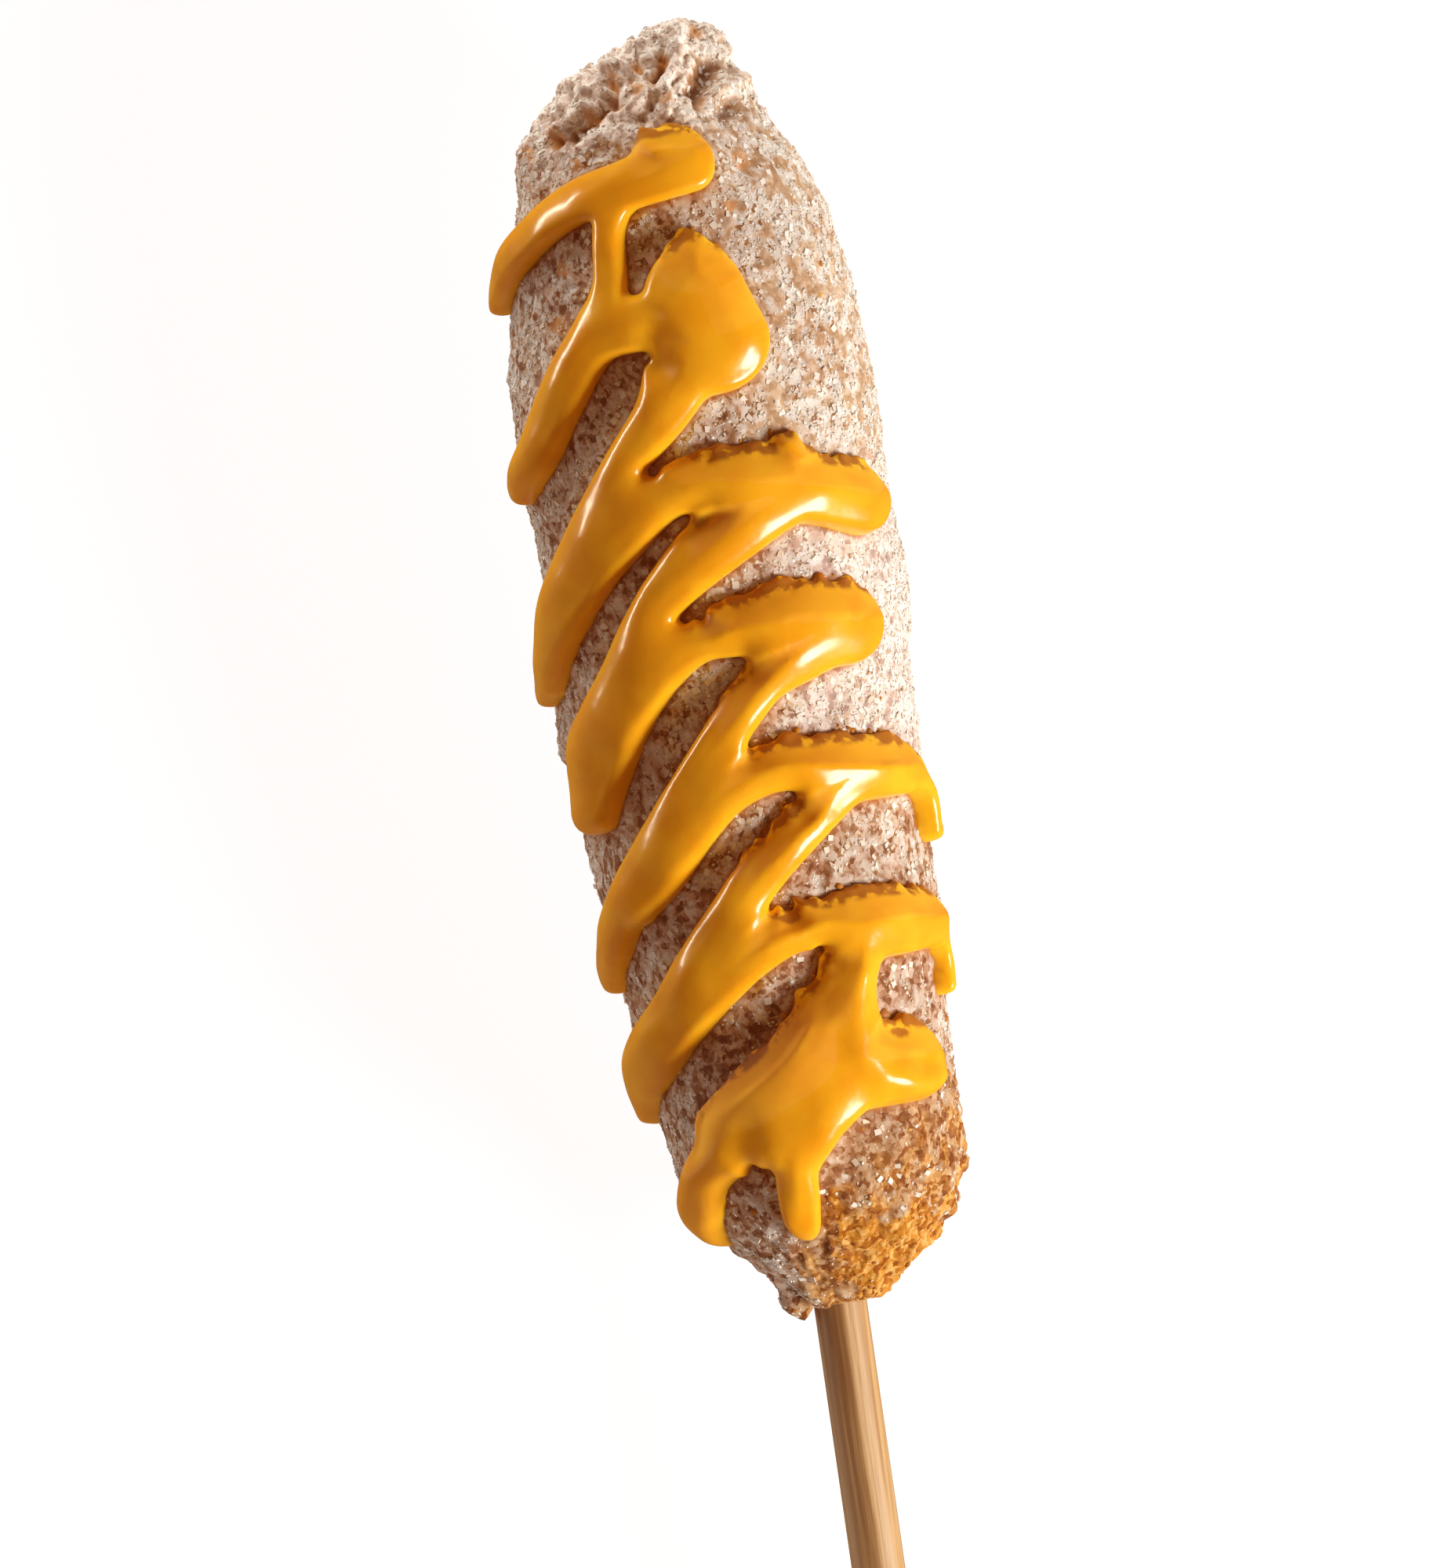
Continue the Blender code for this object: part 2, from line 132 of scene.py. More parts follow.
def fromWorld(points):
    x, y, z = np.moveaxis(np.asarray(points, dtype=float) / mm - tip, -1, 0)
    return -y * cosPitch - z * sinPitch, x, -y * sinPitch + z * cosPitch


def aroundBody(points):
    along, across, up = fromWorld(points)
    inside = np.clip(along, 0.0, body["length"])
    aside = across - bodyCentre(inside)
    angle = np.arctan2(aside, up)
    return along, angle, np.hypot(aside, up) - bodyRadius(inside) - swelling(inside, angle)


def meshFrom(name, points, faces):
    mesh = bpy.data.meshes.new(name)
    mesh.from_pydata([tuple(p) for p in points], [], faces)
    mesh.validate()
    return mesh


def pieceFrom(name, mesh, material, smooth=True):
    piece = bpy.data.objects.new(name, mesh)
    scene.collection.objects.link(piece)
    if material:
        mesh.materials.clear()
        mesh.materials.append(material)
    if smooth:
        mesh.shade_smooth()
    return piece


# One ring round the stick's middle line
def stickRing(place, radius, turn):
    across = stickSize["across"] + radius * np.sin(turn)
    return toWorld(np.stack([np.full(len(turn), place), across, radius * np.cos(turn)], axis=-1))


def ringFaces(rings, sides):
    faces = []
    for r in range(rings - 1):
        for k in range(sides):
            n = (k + 1) % sides
            faces.append((r * sides + k, (r + 1) * sides + k, (r + 1) * sides + n, r * sides + n))
    return faces


def distanceTo(along, aside, line):
    nearest = np.full(along.shape, 99.0)
    for a, b in zip(line, line[1:]):
        step = np.subtract(b, a)
        t = np.clip(((along - a[0]) * step[0] + (aside - a[1]) * step[1]) / (step @ step), 0.0, 1.0)
        nearest = np.minimum(nearest, np.hypot(along - a[0] - t * step[0], aside - a[1] - t * step[1]))
    return nearest


def cellular(points, cell, seed):
    shift = Vector((seed, seed * 0.7, -seed))
    found = [noise.voronoi(p / cell + shift)[0] for p in points]
    nearest = np.array([(d[0], d[1]) for d in found])
    return nearest[:, 0], nearest[:, 1]


def perlin(points, cell, seed):
    shift = Vector((seed, -seed, seed * 0.3))
    return np.array([noise.noise(p / cell + shift) for p in points])


def patches(points, cell, seed, share, softness):
    return smoothStep((perlin(points, cell, seed) + share) / softness)


def paint(mesh, name, values, rest=0.0):
    layer = mesh.attributes.new(name, "FLOAT", "POINT")
    tail = np.full(len(mesh.vertices) - len(values), rest)
    layer.data.foreach_set("value", np.append(values, tail).astype(np.float32))


def pointsOf(mesh):
    flat = np.empty(len(mesh.vertices) * 3)
    mesh.vertices.foreach_get("co", flat)
    return flat.reshape(-1, 3)


def frozen(piece, name):
    graph = bpy.context.evaluated_depsgraph_get()
    mesh = bpy.data.meshes.new_from_object(piece.evaluated_get(graph), depsgraph=graph)
    mesh.name = name
    piece.modifiers.clear()
    return mesh


def shaderTree(name):
    material = bpy.data.materials.new(name)
    material.use_nodes = True
    tree = material.node_tree
    return material, tree, tree.nodes["Principled BSDF"]


def give(tree, made, values):
    for key, value in values.items():
        if isinstance(value, bpy.types.NodeSocket):
            tree.links.new(value, made.inputs[key])
        else:
            made.inputs[key].default_value = value


def node(tree, kind, values=None, **settings):
    made = tree.nodes.new(kind)
    for key, value in settings.items():
        setattr(made, key, value)
    give(tree, made, values or {})
    return made


def maths(tree, operation, first, second):
    return node(tree, "ShaderNodeMath", {0: first, 1: second}, operation=operation).outputs[0]


def vectorMaths(tree, operation, values):
    return node(tree, "ShaderNodeVectorMath", values, operation=operation).outputs["Vector"]


def attribute(tree, name):
    return node(tree, "ShaderNodeAttribute", attribute_name=name).outputs["Fac"]


def objectPlace(tree, scale=(1.0, 1.0, 1.0)):
    place = node(tree, "ShaderNodeTexCoord").outputs["Object"]
    return node(tree, "ShaderNodeMapping", {"Vector": place, "Scale": scale}).outputs["Vector"]


def noiseAt(tree, place, scale, detail=3.0, roughness=0.5):
    return node(tree, "ShaderNodeTexNoise", {
        "Vector": place, "Scale": scale, "Detail": detail, "Roughness": roughness}).outputs["Fac"]


def ramp(tree, fac, stops):
    made = node(tree, "ShaderNodeValToRGB", {"Fac": fac})
    elements = made.color_ramp.elements
    while len(elements) < len(stops):
        elements.new(0.5)
    for element, (place, colour) in zip(elements, stops):
        element.position = place
        element.color = (*colour, 1.0)
    return made.outputs["Color"]


def rangeOf(tree, value, low, high, newLow=0.0, newHigh=1.0):
    return node(tree, "ShaderNodeMapRange", {
        "Value": value, "From Min": low, "From Max": high, "To Min": newLow, "To Max": newHigh,
    }, interpolation_type="SMOOTHSTEP").outputs["Result"]


def painted(tree, name, low, high, newLow=0.0, newHigh=1.0):
    return rangeOf(tree, attribute(tree, name), low, high, newLow, newHigh)


def mixColour(tree, fac, first, second, blend="MIX"):
    values = {0: fac}
    for key, colour in ((6, first), (7, second)):
        values[key] = (*colour, 1.0) if isinstance(colour, tuple) else colour
    return node(tree, "ShaderNodeMix", values, data_type="RGBA", blend_type=blend).outputs[2]


def bumpFrom(tree, height, strength, distance):
    return node(tree, "ShaderNodeBump", {
        "Height": height, "Strength": strength, "Distance": distance}).outputs["Normal"]


# The pour is laid out flat, along the body and round it, before it is wrapped onto the crust
pour = {
    "arcRadius": 20.0, "blend": 2.0, "pitBlend": 3.0, "step": 1.0, "cell": 0.36,
    "reach": 14.0, "dry": -60.0, "margin": 3.0, "edge": 0.4, "sunk": 1.2,
    "crest": 1.45, "roundness": 2.4, "shoulder": 3.7, "shoulderPower": 6.0,
    "merged": 0.6, "mergedFrom": (107.0, 5.0), "levelling": 1.1, "levelRun": 1.6,
    "upperDip": 0.22, "unevenness": 0.56, "unevenRun": 1.5, "unevenScale": 0.16,
    "voxel": 0.31, "smoothing": 4, "hiddenBelow": -0.35, "kept": 0.62,
    # The next entries push the left side of the pour towards the deeper, darker tone: painted shade
    "leftShadeDeeper": 1.5, "leftShadeFrom": (3.0, 8.0),
    "deepTones": ((0.88, 0.365, 0.006), (0.95, 0.445, 0.010)),
    # The film tone browns the thin upper edges, partly as sauce soaked into crumbs and partly as painted
    # shade, and the apron's left slope as painted shade
    "shallowTone": (0.98, 0.54, 0.014), "filmAndShadeTone": (0.42, 0.12, 0.004),
    "roughness": (0.23, 0.85), "coat": (0.10, 0.0), "ior": 1.40,
}

# The thin, ragged film on the upper edges; the apron entries spread the film's dull, browned look over the
# apron's left slope, where the browning is painted shade
film = {
    "reach": 5.0, "lowReach": 7.0, "lowFrom": (102.0, 12.0), "sideRun": 6.0,
    "ragged": 1.25, "raggedRun": 1.6, "raggedLean": 0.2, "gritScales": (0.30, 0.75), "probe": 0.2,
    "start": 0.25, "slope": 0.62, "pebble": 0.35, "pebbleRun": 1.2, "pebbleScale": 0.9,
    "roundRun": 0.8, "apronShadeShare": 0.75, "apronShadeReach": 3.2,
}

strands = {     # along, across, half of the width; the names are for whoever edits them
    "noseArm": [(15.8, 2.5, 3.8), (17.6, -3.3, 2.9), (18.8, -9.5, 2.6), (21.6, -14.6, 2.5),
                (25.3, -18.0, 2.4), (28.4, -19.4, 2.1)],
    "noseFall": [(19.0, -5.4, 2.2), (23.0, -6.7, 1.9), (28.0, -7.3, 1.9), (32.0, -8.6, 2.3)],
    "shoulderFall": [(33.0, -8.8, 2.6), (36.5, -11.8, 2.9), (41.0, -14.8, 2.9),
                     (46.0, -17.6, 2.7), (49.5, -19.8, 2.4)],
    "noseCorner": [(14.6, 3.6, 2.4), (14.2, -0.4, 2.2)],
    "pool": [(31.0, 1.8, 5.8), (36.0, 3.0, 6.3)],
    "poolPeak": [(26.0, 2.2, 2.0), (29.0, 2.2, 4.0)],
    "poolNeck": [(33.6, -9.0, 3.0), (33.3, -5.2, 3.1), (33.3, -2.0, 3.0)],
    "poolFall": [(37.0, 0.0, 4.5), (43.0, -3.4, 3.1), (48.0, -8.0, 2.4), (53.0, -11.6, 2.5),
                 (59.0, -15.5, 2.6), (65.0, -18.5, 2.6), (70.0, -19.8, 2.4), (72.8, -20.4, 2.1)],
    "secondArm": [(56.2, 16.4, 4.2), (54.2, 11.0, 4.0), (53.0, 6.0, 4.4), (51.8, 0.0, 3.2),
                  (52.8, -5.0, 2.8), (57.0, -9.9, 2.5), (60.4, -13.3, 2.3), (63.8, -16.0, 2.2),
                  (67.5, -18.2, 2.1), (71.5, -19.9, 1.9)],
    "secondLump": [(48.8, 9.4, 1.5), (50.4, 9.8, 1.6)],
    "secondFall": [(55.2, 6.0, 3.9), (58.8, 0.0, 3.6), (63.0, -5.5, 2.8), (67.5, -9.4, 2.4),
                   (72.0, -12.3, 2.3), (76.0, -15.0, 2.4), (80.0, -17.0, 2.7), (87.0, -17.6, 2.6)],
    "thirdArm": [(69.7, 12.8, 4.9), (69.0, 8.0, 5.0), (68.5, 2.5, 3.6), (69.0, -3.0, 2.8),
                 (72.0, -7.3, 2.3), (76.0, -11.0, 2.3), (81.0, -14.0, 2.3), (87.0, -16.5, 2.2)],
    "thirdFall": [(71.0, 8.0, 4.4), (74.5, 3.4, 2.8), (78.0, 0.0, 2.5), (82.0, -3.4, 2.5),
                  (86.0, -6.8, 2.4), (91.0, -10.8, 2.3), (96.0, -14.2, 2.5),
                  (101.0, -16.7, 2.5), (106.0, -17.8, 2.0)],
    "fourthArm": [(86.8, 16.6, 3.2), (86.0, 12.0, 3.8), (85.0, 7.0, 3.4), (84.5, 3.0, 2.9),
                  (86.5, -2.0, 2.4), (90.0, -6.2, 2.3), (94.5, -10.2, 2.3), (98.0, -14.0, 2.2)],
    "fourthDrip": [(87.2, 17.8, 2.2), (90.0, 18.8, 1.6), (94.4, 19.1, 1.5)],
    "fourthFall": [(87.5, 9.6, 3.0), (91.8, 4.8, 2.7), (96.0, 0.0, 2.7), (101.0, -4.6, 2.6),
                   (106.0, -8.8, 2.6), (111.0, -12.5, 2.6), (116.0, -15.8, 2.7),
                   (121.0, -17.0, 2.3)],
    "fifthArm": [(104.0, 17.0, 3.5), (103.5, 12.0, 4.1), (103.0, 7.0, 3.2), (102.8, 2.4, 2.8),
                 (105.6, -2.7, 2.3), (109.6, -7.6, 2.0), (113.0, -11.0, 1.7), (117.0, -14.2, 1.5),
                 (120.5, -16.0, 1.5)],
    "fifthDrip": [(105.5, 18.0, 1.6), (108.5, 18.7, 1.1), (112.0, 18.7, 1.2)],
    "fifthFall": [(104.0, 9.4, 3.6), (109.0, 7.7, 3.4), (114.0, 6.2, 4.6)],
    "apronLobe": [(119.3, 13.5, 4.9), (119.0, 9.0, 5.2)],
    "apron": [(114.5, 5.0, 4.8), (119.5, 4.2, 5.8), (123.0, -1.0, 5.0), (126.0, -6.5, 3.8)],
    "apronSide": [(113.6, 2.6, 2.2), (117.5, -0.6, 2.9), (120.8, -4.8, 3.0), (124.0, -9.0, 2.8)],
    "leftDrip": [(124.5, -6.4, 4.0), (128.5, -10.3, 2.9), (131.8, -11.6, 3.0), (135.0, -11.8, 2.9)],
    "middleDrip": [(124.0, 1.0, 4.6), (129.0, -0.7, 2.9), (133.0, -1.0, 2.9), (135.4, -1.0, 2.7)],
}

pits = [        # along, across, radius: where two strands leave a hole between them
    (49.8, -5.6, 0.55), (66.7, -4.4, 0.5), (66.5, -2.8, 0.6), (100.2, 2.4, 0.8), (72.6, 0.9, 0.6),
    (88.4, 4.4, 0.8), (105.8, 5.2, 0.7), (129.8, -5.4, 1.3), (37.2, -4.6, 0.5),
]


# The left of the apron, which is made dull and browned like the thin film all the way up: the browning
# there is painted shade
apronShadeSlope = [(111.5, 4.0), (117.0, -1.8), (122.6, -8.6), (126.0, -11.6)]


def arcAt(along, across):
    share = (across - bodyCentre(along)) / bodyRadius(along)
    over = math.copysign(max(abs(share) - 1.0, 0.0), share)
    return pour["arcRadius"] * (math.asin(min(max(share, -1.0), 1.0)) + over)


def smoothLine(points):
    given = np.array(points, dtype=float)
    given = np.vstack([2.0 * given[0] - given[1], given, 2.0 * given[-1] - given[-2]])
    line = []
    for a, b, c, d in zip(given, given[1:], given[2:], given[3:]):
        count = max(2, int(math.dist(b[:2], c[:2]) / pour["step"]) + 1)
        t = np.linspace(0.0, 1.0, count, endpoint=False)[:, None]
        line.append(0.5 * (2.0 * b + (c - a) * t + (2.0 * a - 5.0 * b + 4.0 * c - d) * t ** 2
                           + (3.0 * b - a - 3.0 * c + d) * t ** 3))
    return np.vstack(line + [given[-2:-1]])


strandLines = [smoothLine([(s, arcAt(s, u), half) for s, u, half in points])
               for points in strands.values()]


def strandDepth(line, along, arc):
    depth = np.full(along.shape, pour["dry"])
    width = np.ones(along.shape)
    reach = pour["reach"]
    close = ((along > line[:, 0].min() - reach) & (along < line[:, 0].max() + reach)
             & (arc > line[:, 1].min() - reach) & (arc < line[:, 1].max() + reach))
    s, a = along[close], arc[close]
    bestDepth, bestWidth = np.full(s.shape, pour["dry"]), np.ones(s.shape)
    for start, end in zip(line, line[1:]):
        step = end[:2] - start[:2]
        t = np.clip(((s - start[0]) * step[0] + (a - start[1]) * step[1]) / (step @ step), 0.0, 1.0)
        half = start[2] + t * (end[2] - start[2])
        inside = half - np.hypot(s - start[0] - t * step[0], a - start[1] - t * step[1])
        nearer = inside > bestDepth
        bestDepth = np.where(nearer, inside, bestDepth)
        bestWidth = np.where(nearer, half, bestWidth)
    depth[close], width[close] = bestDepth, bestWidth
    return depth, width


def flow(along, arc):
    pairs = [strandDepth(line, along, arc) for line in strandLines]
    depths = np.array([pair[0] for pair in pairs])
    deepest = depths.max(axis=0)
    weight = np.exp(pour["blend"] * (depths - deepest))
    depth = deepest + np.log(weight.sum(axis=0)) / pour["blend"]
    width = (weight * np.array([pair[1] for pair in pairs])).sum(axis=0) / weight.sum(axis=0)
    for place, across, radius in pits:
        hole = np.hypot(along - place, arc - arcAt(place, across)) - radius
        depth = -np.logaddexp(-pour["pitBlend"] * depth, -pour["pitBlend"] * hole) / pour["pitBlend"]
    return depth, width


def noiseGrid(along, arc, scale, seed=0.0):
    flat = [noise.noise(Vector((s * scale, a * scale, seed))) for s, a in zip(along.ravel(), arc.ravel())]
    return np.array(flat).reshape(along.shape)


folds = [       # rise, spread, line along which the pour stands higher or lower
    (0.8, 1.8, [(109.0, 8.4), (113.5, 7.2), (117.5, 7.6), (120.6, 9.2), (122.4, 12.6), (122.2, 15.2)]),
    (-0.9, 2.2, [(116.8, 12.0), (119.0, 13.5)]),
    (-0.9, 2.6, [(119.4, -8.6), (122.0, -10.2), (124.6, -11.4)]),
    (-0.5, 2.0, [(125.0, -5.0), (127.0, -6.0)]),
    (-1.0, 2.0, [(35.0, -3.0), (38.5, -3.2)]),
    (-0.9, 1.9, [(56.0, -2.4), (55.2, -0.8)]),
    (-0.9, 1.9, [(72.0, -0.6), (71.2, 1.0)]),
    (-0.8, 1.8, [(88.6, 2.4), (87.9, 4.0)]),
    (-0.8, 1.8, [(106.4, 2.6), (105.7, 4.2)]),
]


def nearLine(along, arc, line):
    return distanceTo(along, arc, [(s, arcAt(s, u)) for s, u in line])


def blurred(field):
    reach = pour["levelling"] / pour["cell"]
    span = int(reach * 2.5)
    taps = np.arange(-span, span + 1)
    weights = np.exp(-(taps / reach) ** 2 / 2.0)
    for axis in (0, 1):
        field = sum(w * np.roll(field, t, axis) for w, t in zip(weights / weights.sum(), taps))
    return field


def raggedSide(along, arc):
    reach = film["reach"] + film["lowReach"] * fade(along, *film["lowFrom"])
    return smoothStep((arc + reach) / film["sideRun"])


def upperEdge(along, arc, depth):       # 1 where the pour falls away towards the tip
    return np.clip((flow(along + film["probe"], arc)[0] - depth) / film["probe"], 0.0, 1.0)


# Where the sauce is browned and dull: its thin upper edges, browned partly as soaked crumbs and partly as
# painted shade, and the apron's left slope, browned as painted shade
def filmAndShadeOver(along, arc, depth):
    slope = np.exp(-(nearLine(along, arc, apronShadeSlope) / film["apronShadeReach"]) ** 4)
    thin = upperEdge(along, arc, depth) * raggedSide(along, arc)
    return np.maximum(thin, film["apronShadeShare"] * slope)


# Distance in from the outline of the whole pour, so that merged strands leave no groove
def fromOutline(along, arc, depth):
    edges = []
    for first, second in ((np.s_[:-1, :], np.s_[1:, :]), (np.s_[:, :-1], np.s_[:, 1:])):
        crossed = (depth[first] > 0.0) != (depth[second] > 0.0)
        a, b = depth[first][crossed], depth[second][crossed]
        share = a / (a - b)
        edges.append(np.stack([
            along[first][crossed] * (1.0 - share) + along[second][crossed] * share,
            arc[first][crossed] * (1.0 - share) + arc[second][crossed] * share], axis=-1))
    edges = np.vstack(edges)
    inside = np.argwhere(depth > 0.0)
    places = np.stack([along[depth > 0.0], arc[depth > 0.0]], axis=-1)
    distance = np.zeros(depth.shape)
    batch = 500         # keeps the table of distances small
    for start in range(0, len(places), batch):
        near = places[start:start + batch, None, :] - edges[None, :, :]
        rows = inside[start:start + batch]
        distance[rows[:, 0], rows[:, 1]] = np.sqrt((near ** 2).sum(axis=-1).min(axis=1))
    return distance


def crestHeight(inside, width, upper):
    power = pour["shoulderPower"]
    shoulder = width / (1.0 + (width / pour["shoulder"]) ** power) ** (1.0 / power)
    fromCrest = np.clip(1.0 - inside / shoulder, 0.0, 1.0)
    height = pour["crest"] * np.sqrt(shoulder) * np.sqrt(1.0 - fromCrest ** pour["roundness"])
    return height, 1.0 - pour["upperDip"] * upper * fromCrest ** 1.5


def levelled(height, depth, inside):
    wet = (depth > 0.0) * 1.0
    even = blurred(height * wet) / np.clip(blurred(wet), 0.05, None)
    return height + (even - height) * np.clip(inside / pour["levelRun"], 0.0, 1.0)


def filmHeight(along, arc, inside, outline):
    pebble = noiseGrid(along, arc, film["pebbleScale"], 12.0)
    pebbled = film["pebble"] * pebble * np.exp(-(inside / film["pebbleRun"]) ** 2)
    wedge = np.maximum(film["start"] + film["slope"] * inside + pebbled, 0.0)
    return wedge * np.sqrt(np.clip(outline / film["roundRun"], 0.0, 1.0))


def pourNet():
    cell = pour["cell"]
    ends = np.vstack(strandLines)
    margin = ends[:, 2].max() + pour["margin"]
    axes = [np.arange(ends[:, k].min() - margin, ends[:, k].max() + margin, cell) for k in (0, 1)]
    along, arc = np.meshgrid(*axes, indexing="ij")
    depth, width = flow(along, arc)
    upper = np.clip(np.gradient(depth, cell, axis=0), 0.0, 1.0)
    thin = upper * raggedSide(along, arc)
    broad, fine = film["gritScales"]
    grit = noiseGrid(along, arc, broad) + 0.8 * noiseGrid(along, arc, fine, 7.0)
    ragged = film["ragged"] * (grit + film["raggedLean"]) * thin
    outline = depth + ragged * np.exp(-(depth / film["raggedRun"]) ** 2)
    merged = pour["merged"] + (1.0 - pour["merged"]) * fade(along, *pour["mergedFrom"])
    inside = np.clip(depth, 0.0, None)
    inside += (fromOutline(along, arc, depth) - inside) * merged
    height, dip = crestHeight(inside, width, upper)
    height = levelled(height, depth, inside) * dip
    uneven = pour["unevenness"] * noiseGrid(along, arc, pour["unevenScale"], 3.0)
    height += uneven * np.clip(inside / pour["unevenRun"], 0.0, 1.0)
    wedge = filmHeight(along, arc, inside, outline)
    height = height * (1.0 - thin) + np.where(depth > 0.0, np.minimum(height, wedge), wedge) * thin
    for rise, spread, line in folds:
        ridge = np.exp(-(nearLine(along, arc, line) / spread) ** 2)
        height += rise * ridge * np.clip(depth, 0.0, 1.0)
    return along, arc, outline, pour["edge"] + np.clip(height, 0.0, None)


# Faces of the wet part of the net, with their outer corners on the outline itself
def sauceFaces(along, arc, depth, height):
    places, faces = {}, []

    def corner(at):
        places[at] = (along[at], arc[at], height[at])
        return at

    def crossing(a, b):
        low, high = sorted([a, b])
        t = min(max(depth[low] / (depth[low] - depth[high]), 0.1), 0.9)
        key = (low, high)
        places[key] = (along[low] + t * (along[high] - along[low]),
                       arc[low] + t * (arc[high] - arc[low]), pour["edge"])
        return key

    wet = depth > 0.0
    busy = wet[:-1, :-1] | wet[1:, :-1] | wet[1:, 1:] | wet[:-1, 1:]
    for i, j in np.argwhere(busy):
        ring = [(i, j), (i + 1, j), (i + 1, j + 1), (i, j + 1)]
        face = []
        for a, b in zip(ring, ring[1:] + ring[:1]):
            if wet[a]:
                face.append(corner(a))
            if wet[a] != wet[b]:
                face.append(crossing(a, b))
        faces.append(face)
    keys = {key: k for k, key in enumerate(places)}
    return np.array(list(places.values())), [[keys[key] for key in face] for face in faces]


# The net's top, a copy of it sunk into the crust, and the wall between them
def makeSauceShell():
    table, shell = sauceFaces(*pourNet())
    angle = table[:, 1] / pour["arcRadius"]
    upper = toWorld(surface(table[:, 0], angle, table[:, 2]))
    lower = toWorld(surface(table[:, 0], angle, -pour["sunk"]))
    count = len(table)
    sides = {}
    for face in shell:
        for a, b in zip(face, face[1:] + face[:1]):
            if sides.pop((b, a), None) is None:
                sides[(a, b)] = True
    shell += [[k + count for k in reversed(face)] for face in shell]
    shell += [[b, a, a + count, b + count] for a, b in sides]
    mesh = meshFrom("sauceShell", np.vstack([upper, lower]), shell)
    shape = bmesh.new()
    shape.from_mesh(mesh)
    bmesh.ops.recalc_face_normals(shape, faces=shape.faces)
    shape.to_mesh(mesh)
    shape.free()
    return mesh


def sauceMaterial():
    material, tree, shader = shaderTree("glossySauce")
    place = objectPlace(tree)
    cloud = rangeOf(tree, noiseAt(tree, place, 160.0, 2.0), 0.35, 0.65)
    deep = mixColour(tree, cloud, *pour["deepTones"])
    # Thick sauce takes the deeper tone and thin edges the paler one; the depth read here is raised on the
    # left side as painted shade
    colour = mixColour(tree, painted(tree, "depthAndLeftShade", 0.2, 2.2), pour["shallowTone"], deep)
    patchy = rangeOf(tree, noiseAt(tree, place, 640.0, 2.0), 0.36, 0.62, 0.1, 1.6)
    shallow = maths(tree, "MULTIPLY", painted(tree, "cover", 0.5, 1.8, 1.0, 0.0), patchy)
    # The film mask browns thin sauce: partly soaked crumbs, partly painted shade on edges and slopes facing
    # away from the key lamp
    thin = attribute(tree, "film")
    brownedAndShaded = rangeOf(tree, maths(tree, "MULTIPLY", thin, shallow), 0.0, 0.7, 0.0, 0.9)
    give(tree, shader, {
        "Base Color": mixColour(tree, brownedAndShaded, colour, pour["filmAndShadeTone"]),
        "Roughness": rangeOf(tree, thin, 0.1, 0.6, *pour["roughness"]),
        "Coat Weight": rangeOf(tree, thin, 0.1, 0.6, *pour["coat"]),
        "Coat Roughness": 0.08, "IOR": pour["ior"],
        "Subsurface Weight": 0.25, "Subsurface Radius": (0.0025, 0.0007, 0.0001), "Subsurface Scale": 1.0,
        "Normal": bumpFrom(tree, noiseAt(tree, place, 420.0, 2.0), 0.25, 0.00025),
    })
    return material


def makeSauce():
    shell = pieceFrom("sauceShell", makeSauceShell(), None)
    remesh = shell.modifiers.new("remesh", "REMESH")
    remesh.mode = "VOXEL"
    remesh.voxel_size = pour["voxel"] * mm
    remesh.adaptivity = 0.0
    soften = shell.modifiers.new("soften", "SMOOTH")
    soften.factor = 0.5
    soften.iterations = pour["smoothing"]
    shell.data = frozen(shell, "pouredSauce")
    lift = aroundBody(pointsOf(shell.data))[2]
    buried = shell.vertex_groups.new(name="buried")
    buried.add([int(k) for k in np.nonzero(lift < pour["hiddenBelow"])[0]], 1.0, "REPLACE")
    thinning = shell.modifiers.new("thinning", "DECIMATE")
    thinning.ratio = pour["kept"]
    thinning.vertex_group = "buried"
    thinning.vertex_group_factor = 10.0
    mesh = frozen(shell, "pouredSauce")
    bpy.data.objects.remove(shell)
    along, angle, lift = aroundBody(pointsOf(mesh))
    arc = angle * pour["arcRadius"]
    paint(mesh, "cover", lift)
    # Painted shade: the depth that sets the colour is raised on the left side, so that side takes the
    # darker tone
    paint(mesh, "depthAndLeftShade", lift + pour["leftShadeDeeper"] * fade(-arc, *pour["leftShadeFrom"]))
    paint(mesh, "film", filmAndShadeOver(along, arc, flow(along, arc)[0]))
    sauce = pieceFrom("pouredSauce", mesh, sauceMaterial())
    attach(sauce, "root")
    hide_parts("sauce")
    print("sauce:", len(mesh.polygons), "faces")
    return sauce


# Three heights are for the body, the nose and the butt; a shape is a lump's top, fall and lowest;
# wander is how far, over what distance and with which seed the bare patch's edge strays
crustLook = {
    "ringStep": 0.5, "noseRingStep": 0.34, "sideStep": 0.37, "underStep": 1.0,
    "mouthGap": 0.1, "lastRing": 146.0, "sugarRoom": 0.45, "noseRoom": 0.55, "pressed": 0.12,
    "lip": 0.4, "lipRun": -1.6, "swayCell": 2.3, "sway": 0.9, "patchCell": 6.0,
    "clumpCell": 2.9, "clumpHeights": (0.26, 0.95, 0.45), "clumpShape": (0.62, 1.9, -0.25),
    "crumbCell": 1.5, "crumbHeights": (0.26, 0.85, 0.40), "crumbShape": (0.55, 1.7, -0.3),
    "dustCell": 0.85, "dustHeight": 0.16, "noseDust": 0.30, "rollCell": 9.0, "rollHeight": 0.42,
    "foldHeight": 1.35, "buttSlant": 0.63, "wander": ((5.0, 4.0, 2.2), (3.5, 1.5, 6.1)),
    "stainAndShadeReach": 1.8, "soakAndShadeReach": 0.7, "rimWidth": 0.35,
}

